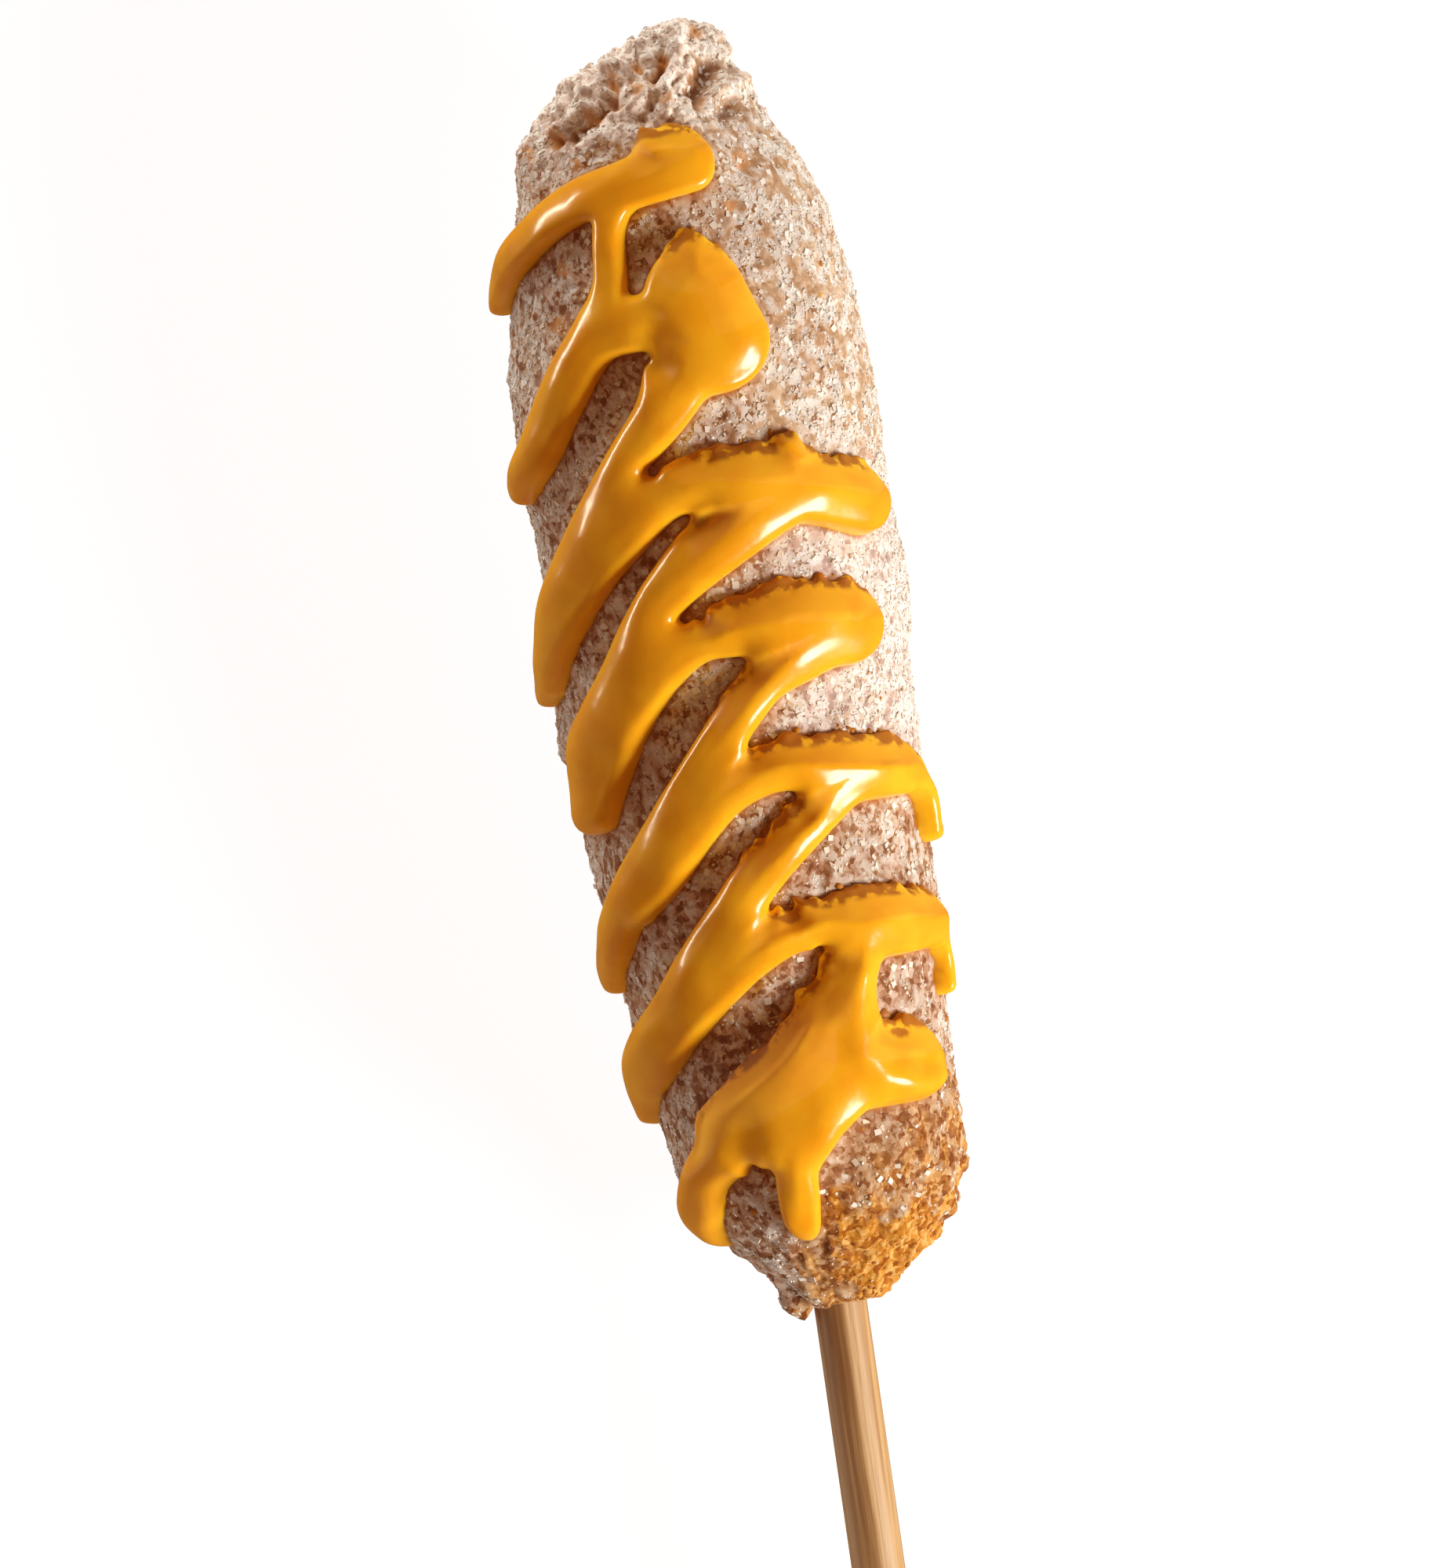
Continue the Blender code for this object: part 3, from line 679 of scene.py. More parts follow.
# Where each zone of the crust starts and how far it takes to come in, along the body or across it
zones = {
    "fineRings": (26.0, -6.0), "under": (1.75, 0.4), "upper": (-1.5, 3.0),
    "nose": (17.0, -11.0), "noseSide": (8.0, -8.0), "butt": (128.0, 12.0), "buttSide": (-6.0, 6.0),
    "bare": (135.4, 2.4), "bareSide": (2.2, 2.4), "tan": (84.0, 10.0), "tanSide": (2.0, 6.0),
    "fair": (48.0, 10.0), "fairSide": (1.0, 6.0), "white": (46.0, 12.0), "whiteSide": (2.0, 8.0),
    "whiteEnd": (78.0, 14.0), "thinned": (78.0, 10.0), "sparse": (98.0, 24.0),
    "outside": (0.1, 0.4), "clear": (0.55, 0.4), "raised": (-0.5, 0.6),
}

# How much of the crust the sugar clusters cover, and what each zone adds or takes away
sugarCover = {
    "cell": 1.8, "softness": 0.24, "share": 0.21, "hanging": 0.5, "white": 0.24,
    "sparse": 0.16, "thinned": 0.13, "between": 0.06,
    "lostNose": 0.55, "lostBare": 0.85, "lostTan": 0.5, "lostStainAndShade": 0.4,
}

# The crumbled nose: height, width, and the line that each fold or hollow runs along
noseFolds = [
    (0.9, 0.9, [(1.8, 4.1), (4.7, 3.2), (6.7, 1.8), (9.0, 2.0)]),
    (0.6, 0.8, [(7.9, 11.3), (8.6, 7.7)]),
    (0.5, 0.8, [(2.6, 8.9), (4.4, 9.7)]),
    (0.7, 1.7, [(2.3, 7.8), (3.1, 9.0)]),
    (0.8, 1.6, [(0.8, 2.2), (1.0, 5.6)]),
    (0.8, 1.2, [(7.7, -1.4), (7.9, -1.0)]),
    (0.8, 0.8, [(8.2, -7.3), (8.8, -8.5), (10.2, -10.8)]),
    (0.8, 0.8, [(4.2, -3.8), (5.1, -6.0), (6.0, -7.8)]),
    (0.6, 1.0, [(11.4, -7.1), (11.8, -6.7)]),
    (0.7, 0.9, [(5.2, -10.0), (5.6, -9.6)]),
    (0.4, 0.9, [(1.1, 0.4), (2.2, -1.0)]),
    (-1.1, 1.4, [(5.8, 7.3), (8.1, 5.8)]),
    (-0.8, 1.2, [(10.4, 8.6), (10.8, 8.6)]),
    (-0.9, 0.7, [(5.5, -4.6), (6.1, -2.3)]),
    (-0.8, 0.6, [(4.0, -1.3), (4.2, -0.9)]),
    (-1.0, 0.7, [(3.4, 2.7), (5.8, 1.1), (6.5, 0.5)]),
    (-0.8, 0.8, [(8.3, 0.8), (10.0, -1.5)]),
    (-1.0, 0.9, [(7.6, -3.9), (8.5, -5.9), (10.3, -7.9), (11.4, -9.8)]),
    (-0.9, 0.8, [(11.4, -11.5), (11.8, -11.5)]),
    (-0.6, 0.6, [(9.3, 5.4), (9.7, 5.4)]),
    (-0.5, 1.2, [(17.1, 9.7), (17.5, 9.7)]),
]


# Lumps round the stick's end: along, degrees from the top, spread, height
knobs = [
    (145.2, -82, 1.5, 2.1), (143.0, -66, 1.5, 0.7), (145.0, -32, 1.3, 0.7), (144.4, 28, 1.4, 0.6),
    (141.5, 62, 1.6, 0.7), (137.0, 84, 1.7, 0.8), (132.0, 88, 1.5, 0.6), (140.0, 92, 1.3, 0.6),
    (134.5, 62, 1.8, 0.5), (138.0, 34, 1.8, 0.5), (139.0, -78, 1.3, 0.5), (145.0, 88, 1.2, 0.6),
    (144.6, 170, 1.5, 0.7), (143.0, -130, 1.6, 0.6),
]

# Browned spots near the tip: along, across, spread
spots = [
    (11.2, -11.7, 1.3), (12.7, -15.1, 1.2), (5.3, -4.1, 1.0), (4.1, -1.3, 0.8), (3.6, 2.1, 0.8),
    (7.1, -1.4, 1.1), (2.0, 6.0, 0.8), (32.4, -14.0, 1.3), (9.4, -7.2, 1.0), (8.8, 1.6, 0.8),
    (21.5, 7.0, 1.0), (14.6, -9.6, 0.9), (26.0, -12.6, 1.1), (16.6, 9.4, 1.2),
]


def zone(name, value):
    return fade(value, *zones[name])


def spotted(along, across, up):
    total = np.zeros(along.shape)
    for place, aside, spread in spots:
        total += np.exp(-(np.hypot(along - place, across - aside) / spread) ** 2)
    return np.clip(total, 0.0, 1.0) * zone("upper", up)


def foldHeight(along, across, up):
    total = np.zeros(along.shape)
    for height, width, line in noseFolds:
        total += height * np.exp(-(distanceTo(along, across, line) / width) ** 2)
    return crustLook["foldHeight"] * total * zone("upper", up)


# Places along a line whose spacing follows the given steps
def evenly(places, steps):
    run = np.concatenate([[0.0], np.cumsum(np.diff(places) * 2.0 / (steps[1:] + steps[:-1]))])
    return np.interp(np.linspace(0.0, run[-1], int(run[-1]) + 1), run, places)


def crustGrid():
    look = crustLook
    fine = np.linspace(body["noseStart"] + 0.03, look["lastRing"], 8000)
    run = np.concatenate([[0.0], np.cumsum(np.hypot(np.diff(fine), np.diff(bodyRadius(fine))))])
    close = zone("fineRings", run)
    rings = evenly(run, look["ringStep"] + (look["noseRingStep"] - look["ringStep"]) * close)
    along = np.interp(rings, run, fine)
    turn = np.linspace(-math.pi, math.pi, 4000)
    under = zone("under", np.abs(turn))
    widths = (look["sideStep"] + (look["underStep"] - look["sideStep"]) * under) / body["radius"]
    angle = evenly(turn, widths)[:-1]
    return np.meshgrid(along, angle, indexing="ij")


def gridNormals(grid):
    down = np.gradient(grid, axis=0)
    around = np.roll(grid, -1, axis=1) - np.roll(grid, 1, axis=1)
    normal = np.cross(down, around)
    return normal / np.linalg.norm(normal, axis=-1, keepdims=True)


def heightOver(heights, nose, butt):
    usual, atNose, atButt = heights
    return usual + (atNose - usual) * nose + (atButt - usual) * butt


def crustRelief(along, base, plain, nose, butt):
    look = crustLook
    sway = np.stack([perlin(plain, look["swayCell"], seed) for seed in (21.4, 36.9, 52.7)], axis=-1)
    warped = [p + Vector(w) * look["sway"] for p, w in zip(plain, sway)]
    first, second = cellular(warped, look["clumpCell"], 3.1)
    top, fall, lowest = look["clumpShape"]
    clump = np.maximum(top - fall * first ** 2 + 0.25 * smoothStep((second - first) * 3.0), lowest)
    first = cellular(warped, look["crumbCell"], 11.7)[0]
    top, fall, lowest = look["crumbShape"]
    crumb = np.maximum(top - fall * first ** 2, lowest)
    patchy = 0.85 + 0.7 * perlin(plain, look["patchCell"], 8.2)
    relief = heightOver(look["clumpHeights"], nose, butt) * clump * patchy
    relief += heightOver(look["crumbHeights"], nose, butt) * crumb
    relief += (look["dustHeight"] + look["noseDust"] * nose) * perlin(plain, look["dustCell"], 5.0)
    relief += look["rollHeight"] * perlin(plain, look["rollCell"], 1.3)
    folds = foldHeight(along, base[:, 1], base[:, 2])
    return relief * np.clip((along + 0.4) / 2.0, 0.3, 1.0), folds, crumb


# The ragged golden patch by the stick that carries no sugar, and the mottling round it
def bareButt(along, base, plain, butt):
    across = base[:, 1]
    wander = sum(reach * perlin(plain, cell, seed) for reach, cell, seed in crustLook["wander"])
    (start, run), (side, sideRun) = zones["bare"], zones["bareSide"]
    bare = smoothStep((along - start + wander) / run) * smoothStep((across - side + 0.6 * wander) / sideRun)
    bare *= base[:, 2] > -4.0
    mottle = perlin(plain, 3.0, 7.7) + 0.5 * perlin(plain, 1.3, 3.7)
    return bare, butt * smoothStep((mottle + 0.02) / 0.22)


def clusters(along, across, plain, white):
    cover = sugarCover
    hanging = np.exp(-((along - 145.0) / 2.0) ** 2) * (across < 0.0)
    share = cover["share"] + cover["hanging"] * hanging + cover["white"] * white
    share = share - cover["sparse"] * zone("sparse", along) - cover["thinned"] * zone("thinned", along)
    cluster = perlin(plain, cover["cell"], 4.4) + 0.5 * perlin(plain, 0.75, 9.9)
    return smoothStep((cluster + share + 0.12 * perlin(plain, 7.0, 1.9)) / cover["softness"])


# What the crust's material and the scattered grains read at each point
def crustCoats(along, arc, base, plain, points, nose, butt, relief, folds):
    across = base[:, 1]
    depth = flow(along, arc)[0]
    away = np.clip(-depth, 0.0, None)
    bare, mottle = bareButt(along, base, plain, butt)
    white = zone("whiteSide", across) * zone("white", along) * (1.0 - zone("whiteEnd", along))
    tan = np.clip(0.5 * zone("tan", along) * zone("tanSide", across) + butt, 0.0, 1.0)
    fair = zone("fairSide", across) * (1.0 - zone("fair", along)) * (1.0 - nose)
    # Sugar thins out next to the sauce, partly as wet sugar melting and partly as painted shade beside the
    # strands
    stainedAndShaded = np.exp(-away / crustLook["stainAndShadeReach"]) * patches(plain, 3.1, 5.8, 0.25, 0.3)
    cluster = clusters(along, across, plain, white)
    cluster *= (1.0 - 0.95 * bare) * (1.0 - 0.75 * mottle)
    cluster *= 1.0 - 0.75 * stainedAndShaded
    # On the nose the sugar keeps to raised places, which leaves the hollows darker and adds to the painted
    # shade there
    cluster *= 1.0 - nose * (1.0 - zone("raised", relief + folds))
    exposed = zone("outside", -depth) * zone("clear", points[:, 2] / mm)
    cover = sugarCover
    sugar = exposed * (cover["between"] + (1.0 - cover["between"]) * cluster)
    sugar *= 1.0 - cover["lostNose"] * nose
    left = (1.0 - cover["lostBare"] * bare) * (1.0 - cover["lostTan"] * tan)
    sugar *= left * (1.0 - cover["lostStainAndShade"] * stainedAndShaded)
    rim = np.exp(-((depth + 0.1) / crustLook["rimWidth"]) ** 2)
    rim = rim * upperEdge(along, arc, depth) * raggedSide(along, arc)
    return {
        "sugar": sugar,
        "crumb": exposed * np.clip(0.008 * (1.0 - nose) + 0.9 * bare + 0.3 * mottle, 0.0, 1.0),
        "rim": rim * patches(plain, 2.4, 3.3, 0.05, 0.2),
        "cluster": cluster,
        "bare": np.clip(bare + 0.35 * mottle + 0.3 * butt, 0.0, 1.0),
        # The soak mask darkens the crust next to the sauce, partly as wetness and partly as a painted
        # contact shadow
        "soakAndContactShade": np.exp(-away / crustLook["soakAndShadeReach"]),
        "nose": nose, "tan": tan, "fair": fair, "white": white,
        "spot": spotted(along, across, base[:, 2]),
        "relief": (relief + folds * 0.8) / (0.5 + 0.6 * nose),
    }


# The outer skin, the mouth round the stick, the socket, and a point that closes each end
def crustMesh(points, turn, tipLift):
    look, sides = crustLook, len(turn)
    mouth, bottom = stickSize["radius"] + look["mouthGap"], body["length"] - stickSize["socket"]
    inner = [(look["lastRing"] + 0.15, mouth + 0.3), (look["lastRing"] - 0.2, mouth), (bottom, mouth)]
    poles = toWorld(np.array([surface(body["noseStart"] + tipLift, 0.0, 0.0) * (1.0, 1.0, 0.0),
                              (bottom, stickSize["across"], 0.0)]))
    rings = [stickRing(place, radius, turn) for place, radius in inner]
    allPoints = np.vstack([points] + rings + [poles])
    tipPole, socketPole = len(allPoints) - 2, len(allPoints) - 1
    total = tipPole // sides
    faces = ringFaces(total, sides)
    for k in range(sides):
        n = (k + 1) % sides
        faces.append((tipPole, k, n))
        faces.append((socketPole, (total - 1) * sides + n, (total - 1) * sides + k))
    return meshFrom("sugaredCrust", allPoints, faces)


def makeCrust():
    look = crustLook
    grid = crustGrid()
    along, angle = grid[0].ravel(), grid[1].ravel()
    shape = surface(*grid)
    base = shape.reshape(-1, 3)
    plain = [Vector(p) for p in base]
    nose = zone("nose", along) * (0.35 + 0.65 * zone("noseSide", base[:, 1]))
    slant = along + look["buttSlant"] * base[:, 1]
    butt = zone("butt", slant) * zone("buttSide", base[:, 1])
    relief, folds, grain = crustRelief(along, base, plain, nose, butt)
    room = look["sugarRoom"] + look["noseRoom"] * nose
    held = fade(along, look["lastRing"] + look["lip"], look["lipRun"])
    lift = ((relief + folds - room) * held + lumpHeight(along, angle, knobs, 4))[:, None]
    points = toWorld(base + gridNormals(shape).reshape(-1, 3) * lift)
    press = look["pressed"] * mm        # the flat spot keeps a little of its grain
    points[:, 2] = np.maximum(points[:, 2], press * np.clip(grain, 0.0, 1.0))
    mesh = crustMesh(points, grid[1][0], room[0])
    arc = angle * pour["arcRadius"]
    coats = crustCoats(along, arc, base, plain, points, nose, butt, relief, folds)
    for name, values in coats.items():
        paint(mesh, name, values, 0.2 if name == "relief" else 0.0)
    crust = pieceFrom("sugaredCrust", mesh, crustMaterial())
    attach(crust, "root")
    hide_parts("crust")
    print("crust:", len(mesh.polygons), "faces")
    return crust


crustTones = {
    "batter": [(0.26, (0.30, 0.12, 0.05)), (0.42, (0.47, 0.24, 0.12)),
               (0.56, (0.68, 0.46, 0.31)), (0.72, (0.84, 0.70, 0.57))],
    "dusted": [(0.22, (0.40, 0.18, 0.07)), (0.31, (0.72, 0.46, 0.24)),
               (0.39, (0.85, 0.77, 0.645)), (0.60, (0.92, 0.89, 0.80))],
    "golden": [(0.24, (0.26, 0.07, 0.006)), (0.40, (0.41, 0.14, 0.012)),
               (0.55, (0.54, 0.23, 0.026)), (0.72, (0.68, 0.39, 0.12))],
    # The crumbled tones follow the relief, pale on ridges and dark in hollows: painted shade
    "crumbledWithShade": [(0.05, (0.38, 0.17, 0.075)), (0.26, (0.62, 0.37, 0.20)),
                 (0.44, (0.86, 0.68, 0.51)), (0.62, (0.96, 0.87, 0.74))],
    "warmth": ((0.75, 0.68, 0.65), (0.86, 0.84, 0.83)),
    "fair": (0.72, 0.52, 0.29), "white": (0.90, 0.87, 0.86), "tan": (0.66, 0.57, 0.47),
    # The pit tone darkens low places in the relief: painted shade
    "hollowShade": (0.38, 0.18, 0.08), "spot": (0.60, 0.27, 0.075), "soakAndContactShade": (0.42, 0.15, 0.02),
}


def grainTone(tree, place, size):
    shake = node(tree, "ShaderNodeTexNoise", {"Vector": place, "Scale": 0.8 / (size * mm), "Detail": 1.0})
    shift = vectorMaths(tree, "SCALE", {0: shake.outputs["Color"], "Scale": size * mm * 1.2})
    moved = vectorMaths(tree, "ADD", {0: place, 1: shift})
    cells = node(tree, "ShaderNodeTexVoronoi", {"Vector": moved, "Scale": 1.0 / (size * mm)})
    return cells.outputs["Color"]


def crustMaterial():
    material, tree, shader = shaderTree("sugaredBatter")
    tones = crustTones
    place = objectPlace(tree)
    grains = node(tree, "ShaderNodeMix", {
        0: 0.42, 2: grainTone(tree, place, 0.95), 3: grainTone(tree, place, 0.55)}).outputs[0]
    batter = ramp(tree, grains, tones["batter"])
    batter = mixColour(tree, painted(tree, "fair", 0.0, 1.0, 0.0, 0.5), batter, tones["fair"])
    crumb = mixColour(tree, attribute(tree, "cluster"), batter, ramp(tree, grains, tones["dusted"]))
    wander = rangeOf(tree, noiseAt(tree, place, 150.0, 3.0), 0.38, 0.62)
    crumb = mixColour(tree, 1.0, crumb, mixColour(tree, wander, *tones["warmth"]), "MULTIPLY")
    crumb = mixColour(tree, painted(tree, "white", 0.0, 1.0, 0.0, 0.22), crumb, tones["white"])
    crumb = mixColour(tree, attribute(tree, "tan"), crumb, tones["tan"], "MULTIPLY")
    crumb = mixColour(tree, attribute(tree, "bare"), crumb, ramp(tree, grains, tones["golden"]))
    # Painted shade on the nose: its colour runs from dark in the hollows to pale on the ridges
    crumbledWithShade = ramp(tree, painted(tree, "relief", -1.2, 0.8), tones["crumbledWithShade"])
    crumbledWithShade = mixColour(tree, rangeOf(tree, grains, 0.34, 0.56, 0.55, 0.0), crumbledWithShade, batter)
    crumb = mixColour(tree, painted(tree, "nose", 0.0, 0.6, 0.0, 0.85), crumb, crumbledWithShade)
    # Painted shade: low places in the relief take the pit tone
    crumb = mixColour(tree, painted(tree, "relief", -1.1, -0.3, 0.4, 0.0), crumb, tones["hollowShade"])
    crumb = mixColour(tree, painted(tree, "spot", 0.2, 0.8, 0.0, 0.8), crumb, tones["spot"])
    # Painted contact shadow and wetness: the crust is darkened next to the sauce
    crumb = mixColour(tree, painted(tree, "soakAndContactShade", 0.35, 0.95, 0.0, 0.75), crumb, tones["soakAndContactShade"])
    give(tree, shader, {
        "Base Color": crumb, "Roughness": painted(tree, "soakAndContactShade", 0.3, 1.0, 0.85, 0.45),
        "Specular IOR Level": 0.1,
        "Subsurface Weight": 0.25, "Subsurface Radius": (0.0008, 0.0006, 0.0005), "Subsurface Scale": 1.0,
        "Normal": bumpFrom(tree, noiseAt(tree, place, 1000.0, 1.0, 0.5), 0.3, 0.0003),
    })
    return material


# Gap, size and sink are millimetres; density is for one square millimetre
scatter = {
    "coarseSugar": {"on": "sugar", "gap": 0.70, "density": 1.2, "size": 0.60, "stretch": 0.40,
                    "flat": 0.42, "tilt": 0.3, "sink": 0.06, "seed": 4, "shape": "cube"},
    "fineSugar": {"on": "sugar", "gap": 0.45, "density": 2.6, "size": 0.56, "stretch": 0.40,
                  "flat": 0.42, "tilt": 0.3, "sink": 0.06, "seed": 9, "shape": "lozenge"},
    "sugarDust": {"on": "sugar", "gap": 0.30, "density": 3.6, "size": 0.36, "stretch": 0.35,
                  "flat": 0.5, "tilt": 0.5, "sink": 0.03, "seed": 15, "shape": "shard"},
    "toastedCrumbs": {"on": "crumb", "gap": 0.7, "density": 1.5, "size": 0.95, "stretch": 0.45,
                      "flat": 0.7, "tilt": 1.0, "sink": 0.28, "seed": 21, "shape": "pebble",
                      "material": "toastedCrumb", "rough": 0.8,
                      "tones": ((0.40, 0.13, 0.012), (0.68, 0.36, 0.09))},
    "soakedCrumbs": {"on": "rim", "gap": 0.4, "density": 2.4, "size": 0.75, "stretch": 0.6,
                     "flat": 0.8, "tilt": 1.0, "sink": 0.05, "seed": 33, "shape": "pebble",
                     "material": "soakedCrumb", "rough": 0.75,
                     "tones": ((0.27, 0.09, 0.012), (0.60, 0.25, 0.025))},
}

sugarTones = [(0.0, (0.58, 0.42, 0.28)), (0.22, (0.69, 0.59, 0.47)), (0.6, (0.75, 0.69, 0.585)),
              (1.0, (0.84, 0.80, 0.71))]

grainShapes = {
    "cube": ("GeometryNodeMeshCube", {"Size": (1.0, 1.0, 1.0)}),
    "lozenge": ("GeometryNodeMeshUVSphere", {"Segments": 4, "Rings": 2, "Radius": 0.6}),
    "shard": ("GeometryNodeMeshCone", {
        "Vertices": 3, "Radius Top": 0.0, "Radius Bottom": 0.6, "Depth": 0.9}),
    "pebble": ("GeometryNodeMeshIcoSphere", {"Radius": 0.55, "Subdivisions": 1}),
}


def sugarMaterial():
    material, tree, shader = shaderTree("sugarCrystal")
    colour = ramp(tree, attribute(tree, "tone"), sugarTones)
    give(tree, shader, {"Base Color": colour, "Roughness": 0.8, "Specular IOR Level": 0.08})
    return material


def crumbMaterial(look):
    material, tree, shader = shaderTree(look["material"])
    colour = mixColour(tree, attribute(tree, "tone"), *look["tones"])
    give(tree, shader, {"Base Color": colour, "Roughness": look["rough"], "Specular IOR Level": 0.15})
    return material


# Points strewn by a painted chance, a grain turned and sized at random on each, made real
def scatterTree(name, look, material):
    tree = bpy.data.node_groups.new(name, "GeometryNodeTree")
    face = tree.interface
    face.new_socket("Geometry", in_out="INPUT", socket_type="NodeSocketGeometry")
    for label in ("Gap", "Density", "Size", "Stretch", "Sink"):
        face.new_socket(label, in_out="INPUT", socket_type="NodeSocketFloat")
    face.new_socket("Seed", in_out="INPUT", socket_type="NodeSocketInt")
    face.new_socket("Geometry", in_out="OUTPUT", socket_type="NodeSocketGeometry")
    given = node(tree, "NodeGroupInput").outputs
    chance = node(tree, "GeometryNodeInputNamedAttribute", {"Name": look["on"]}, data_type="FLOAT")
    spread = node(tree, "GeometryNodeDistributePointsOnFaces", {
        "Mesh": given["Geometry"], "Distance Min": given["Gap"], "Density Max": given["Density"],
        "Density Factor": chance.outputs["Attribute"], "Seed": given["Seed"]}, distribute_method="POISSON")
    lower = maths(tree, "MULTIPLY", given["Sink"], -1.0)
    down = vectorMaths(tree, "SCALE", {0: spread.outputs["Normal"], "Scale": lower})
    settled = node(tree, "GeometryNodeSetPosition", {"Geometry": spread.outputs["Points"], "Offset": down})
    tilt = look["tilt"]
    turn = node(tree, "FunctionNodeRandomValue", {
        0: (-tilt, -tilt, 0.0), 1: (tilt, tilt, 2.0 * math.pi), "Seed": given["Seed"]},
        data_type="FLOAT_VECTOR")
    lying = node(tree, "FunctionNodeRotateRotation", {
        "Rotation": spread.outputs["Rotation"], "Rotate By": turn.outputs[0]}, rotation_space="LOCAL")
    low, high = (maths(tree, "MULTIPLY", given["Size"], maths(tree, change, 1.0, given["Stretch"]))
                 for change in ("SUBTRACT", "ADD"))
    sizes = node(tree, "FunctionNodeRandomValue", {0: low, 1: high}, data_type="FLOAT_VECTOR")
    flat = vectorMaths(tree, "MULTIPLY", {0: sizes.outputs[0], 1: (1.0, 1.0, look["flat"])})
    kind, shape = grainShapes[look["shape"]]
    placed = node(tree, "GeometryNodeInstanceOnPoints", {
        "Points": settled.outputs["Geometry"], "Instance": node(tree, kind, shape).outputs["Mesh"],
        "Rotation": lying.outputs["Rotation"], "Scale": flat})
    tone = node(tree, "FunctionNodeRandomValue", data_type="FLOAT")
    toned = node(tree, "GeometryNodeStoreNamedAttribute", {
        "Geometry": placed.outputs["Instances"], "Name": "tone", "Value": tone.outputs[1]},
        data_type="FLOAT", domain="INSTANCE")
    real = node(tree, "GeometryNodeRealizeInstances", {"Geometry": toned.outputs["Geometry"]})
    dressed = node(tree, "GeometryNodeSetMaterial", {
        "Geometry": real.outputs["Geometry"], "Material": material})
    node(tree, "NodeGroupOutput", {"Geometry": dressed.outputs["Geometry"]})
    return tree


def makeScatter(name, look, crust, material):
    tree = scatterTree(name, look, material)
    carrier = bpy.data.objects.new(name + "Carrier", crust.data)
    scene.collection.objects.link(carrier)
    modifier = carrier.modifiers.new(name, "NODES")
    modifier.node_group = tree
    given = {"Gap": look["gap"] * mm, "Density": look["density"] / mm ** 2, "Size": look["size"] * mm,
             "Stretch": look["stretch"], "Sink": look["sink"] * mm, "Seed": look["seed"]}
    for item in tree.interface.items_tree:
        if item.in_out == "INPUT" and item.name in given:
            modifier[item.identifier] = given[item.name]
    mesh = frozen(carrier, name)
    bpy.data.objects.remove(carrier)
    piece = pieceFrom(name, mesh, material, smooth=look["shape"] != "cube")
    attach(piece, "root")
    triangles = sum(len(polygon.vertices) - 2 for polygon in mesh.polygons)
    print(name + ":", triangles, "triangles")
    return piece


stickLook = {
    "sides": 72, "ringStep": 2.0,
    "grooves": ((0.03, 9.0, 1.0), (0.02, 17.0, 0.0)),       # depth, count, turn
    "tones": [(0.3, (0.38, 0.19, 0.065)), (0.48, (0.54, 0.32, 0.125)), (0.68, (0.60, 0.40, 0.19))],
    "streak": (0.27, 0.11, 0.03), "roughness": 0.45,
}


def bambooMaterial():
    material, tree, shader = shaderTree("bamboo")
    fibre = noiseAt(tree, objectPlace(tree, (1.0, 0.018, 1.0)), 1500.0, 4.0, 0.6)
    broad = noiseAt(tree, objectPlace(tree, (1.0, 0.01, 1.0)), 420.0, 2.0)
    streaks = rangeOf(tree, broad, 0.5, 0.62, 0.0, 0.75)
    pale = ramp(tree, fibre, stickLook["tones"])
    give(tree, shader, {
        "Base Color": mixColour(tree, streaks, pale, stickLook["streak"]),
        "Roughness": stickLook["roughness"], "Normal": bumpFrom(tree, fibre, 0.5, 0.0002),
    })
    return material


def makeStick():
    start = body["length"] - stickSize["socket"] + 0.5
    end, radius, chamfer = stickSize["end"], stickSize["radius"], stickSize["chamfer"]
    eased = chamfer * 0.35
    count = int((end - start) / stickLook["ringStep"])
    places = [(start, radius - chamfer), (start + chamfer, radius)]
    places += [(s, radius) for s in np.linspace(start + 2.0, end - 2.0, count)]
    places += [(end - chamfer, radius), (end - eased, radius - eased), (end, radius - chamfer)]
    sides = stickLook["sides"]
    turn = np.linspace(0.0, 2.0 * math.pi, sides, endpoint=False)
    groove = sum(deep * np.sin(turn * number + shift) for deep, number, shift in stickLook["grooves"])
    points = np.vstack([stickRing(s, size + groove * (size / radius), turn) for s, size in places])
    faces = ringFaces(len(places), sides)
    faces.append(tuple(range(sides)))
    faces.append(tuple(reversed(range(len(points) - sides, len(points)))))
    mesh = meshFrom("bambooStick", points, faces)
    stick = pieceFrom("bambooStick", mesh, bambooMaterial())
    mesh.set_sharp_from_angle(angle=math.radians(40.0))
    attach(stick, "root")
    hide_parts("stick")
    print("stick:", len(mesh.polygons), "faces")
    return stick


studio = {
    "floorReach": 3.0, "floorGlow": 0.92, "floorTone": 0.20,
    "horizon": 0.25, "zenith": 0.23, "fillTint": (1.0, 0.48, 0.27),
    "lamps": {      # degrees round from the right, degrees up, metres away, size, watts, colour
        "key": (-32.0, 26.5, 0.80, (0.40, 0.26), 8.2, (1.0, 1.0, 1.0)),
        "tip": (106.0, 8.0, 0.70, (0.40, 0.20), 2.7, (1.0, 1.0, 1.0)),
        "edge": (152.0, 2.0, 0.70, (0.55, 0.060), 4.4, (1.0, 0.92, 0.72)),
    },
}
shot = {"along": 86.2, "across": -3.55, "roll": -8.2, "far": 2400.0, "tall": 177.0, "plane": 0.0}


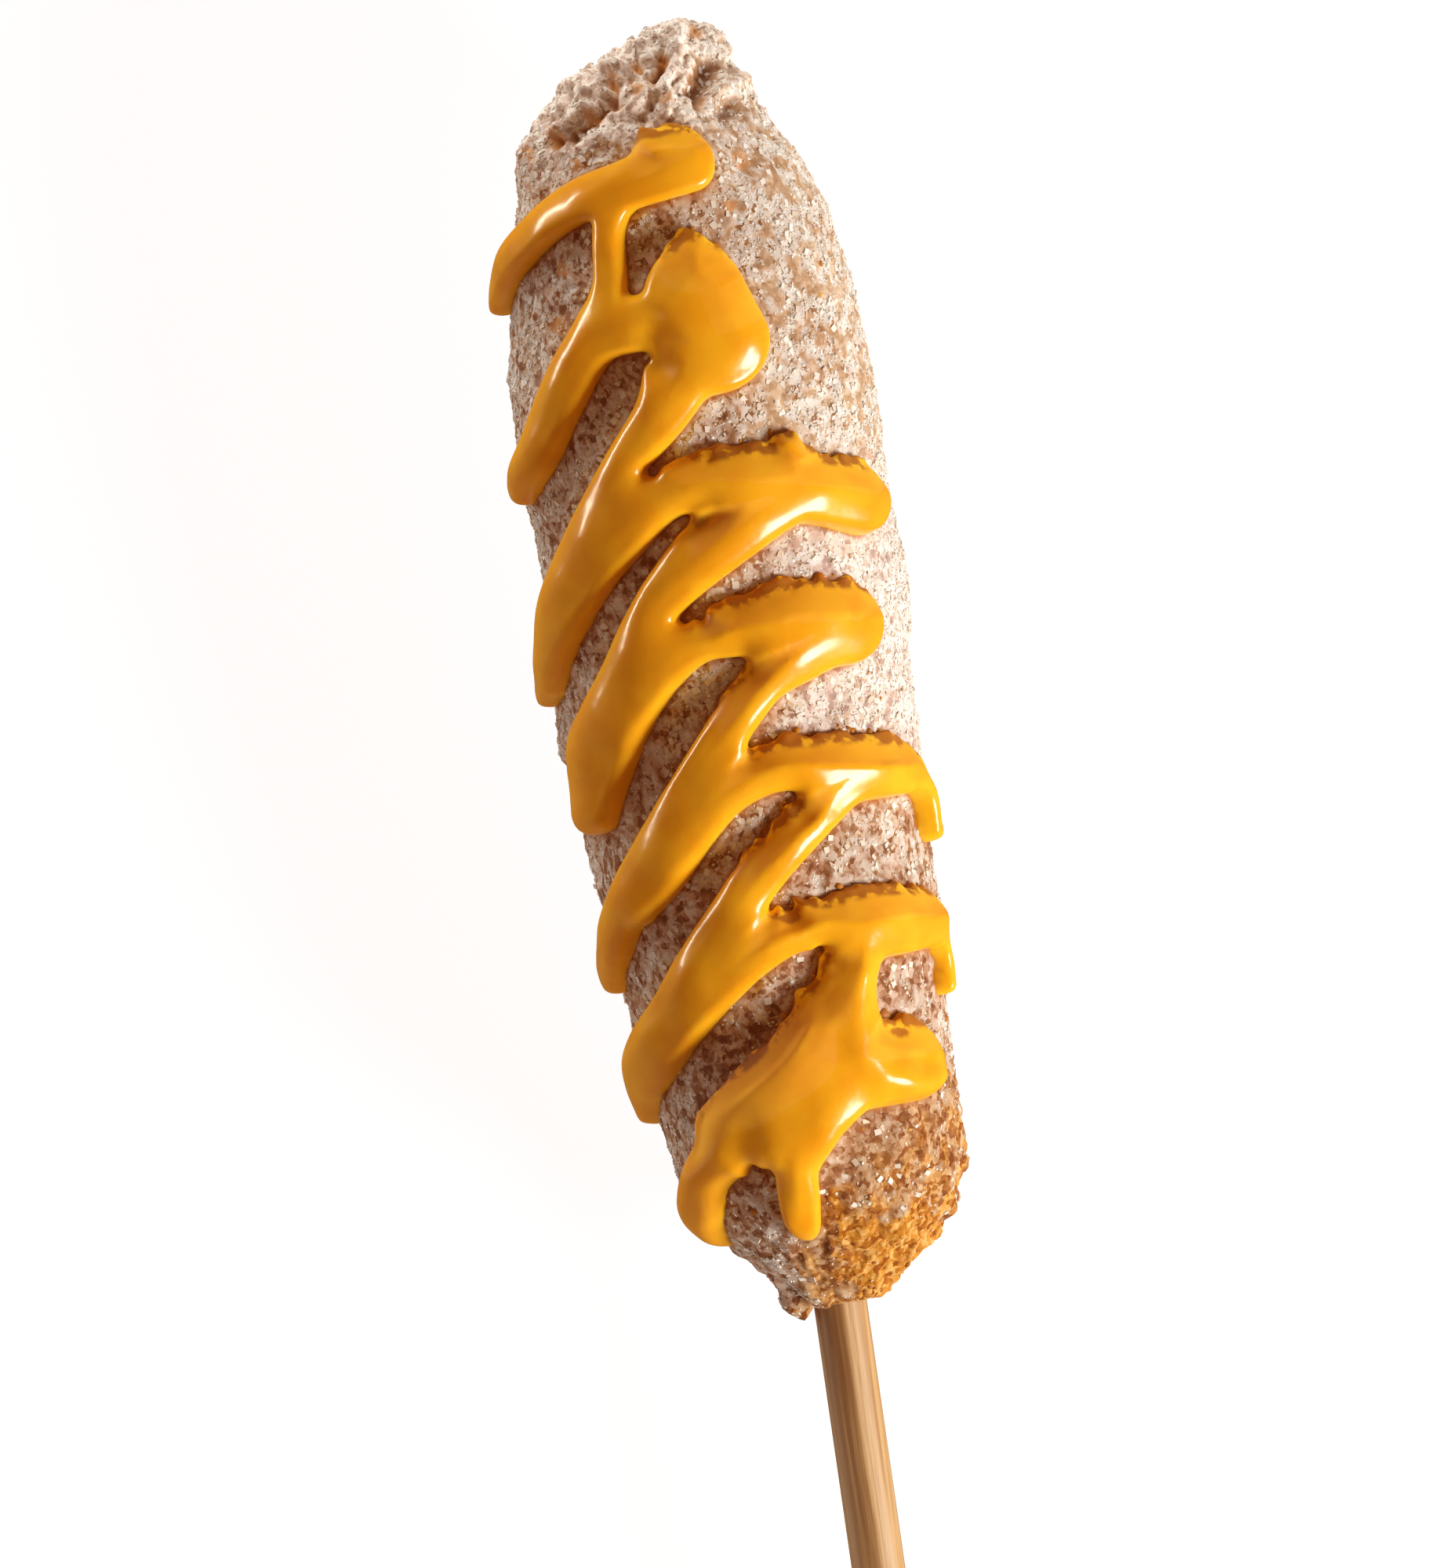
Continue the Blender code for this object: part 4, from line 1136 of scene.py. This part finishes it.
def makeFloor():
    reach, tone = studio["floorReach"], studio["floorTone"]
    corners = [(-reach, -reach, 0), (reach, -reach, 0), (reach, reach, 0), (-reach, reach, 0)]
    material, tree, shader = shaderTree("paleTable")
    stops = [(0.3, (tone,) * 3), (0.7, (tone + 0.02,) * 3)]
    give(tree, shader, {
        "Base Color": ramp(tree, noiseAt(tree, objectPlace(tree), 3.0), stops),
        "Roughness": 0.9, "Specular IOR Level": 0.0,
        "Emission Color": (1.0, 1.0, 1.0, 1.0), "Emission Strength": studio["floorGlow"],
    })
    table = pieceFrom("tableTop", meshFrom("tableTop", corners, [(0, 1, 2, 3)]), material, smooth=False)
    table.visible_glossy = False        # else its glow veils the sauce
    print("table: ready")


def areaLight(name, turn, rise, far, size, power, colour):
    light = bpy.data.lights.new(name, "AREA")
    light.shape = "ELLIPSE"
    light.size, light.size_y = size
    light.energy = power
    light.color = colour
    lamp = bpy.data.objects.new(name, light)
    lamp.visible_camera = False
    lamp.visible_glossy = name != "tip"
    lamp.visible_diffuse = name != "edge"       # a thin strip that only shines along the sauce
    scene.collection.objects.link(lamp)
    turn, rise = math.radians(turn), math.radians(rise)
    away = Vector((math.cos(rise) * math.cos(turn), math.cos(rise) * math.sin(turn), math.sin(rise)))
    middle = Vector(toWorld((75.0, 0.0, 0.0)))
    lamp.location = middle + away * far
    lamp.rotation_euler = (math.pi / 2.0 - rise, 0.0, turn + math.pi / 2.0)


def makeLight():
    world = bpy.data.worlds.new("studio")
    scene.world = world
    world.use_nodes = True
    tree = world.node_tree
    place = node(tree, "ShaderNodeTexCoord").outputs["Generated"]
    up = node(tree, "ShaderNodeSeparateXYZ", {"Vector": place}).outputs["Z"]
    level = rangeOf(tree, up, 0.05, 0.6, studio["horizon"], studio["zenith"])
    give(tree, tree.nodes["Background"], {"Strength": level, "Color": (*studio["fillTint"], 1.0)})
    for name, settings in studio["lamps"].items():
        areaLight(name, *settings)
    print("light:", len(studio["lamps"]), "lamps")


def makeCamera():
    camera = bpy.data.cameras.new("fromAbove")
    camera.sensor_fit = "VERTICAL"
    camera.sensor_height = 36.0
    camera.lens = camera.sensor_height * shot["far"] / shot["tall"]
    camera.clip_end = 20.0
    eye = bpy.data.objects.new("fromAbove", camera)
    scene.collection.objects.link(eye)
    aim = toWorld((shot["along"], shot["across"], shot["plane"]))
    eye.location = (aim[0], aim[1], aim[2] + shot["far"] * mm)
    eye.rotation_euler = (0.0, 0.0, math.radians(shot["roll"]))
    scene.camera = eye
    print("camera: ready")


scene.view_settings.view_transform = "Standard"
makeCamera()
makeLight()
makeFloor()
makeStick()
makeSauce()
crustPiece = makeCrust()
sugar = sugarMaterial()
for name, look in scatter.items():
    makeScatter(name, look, crustPiece, crumbMaterial(look) if "material" in look else sugar)
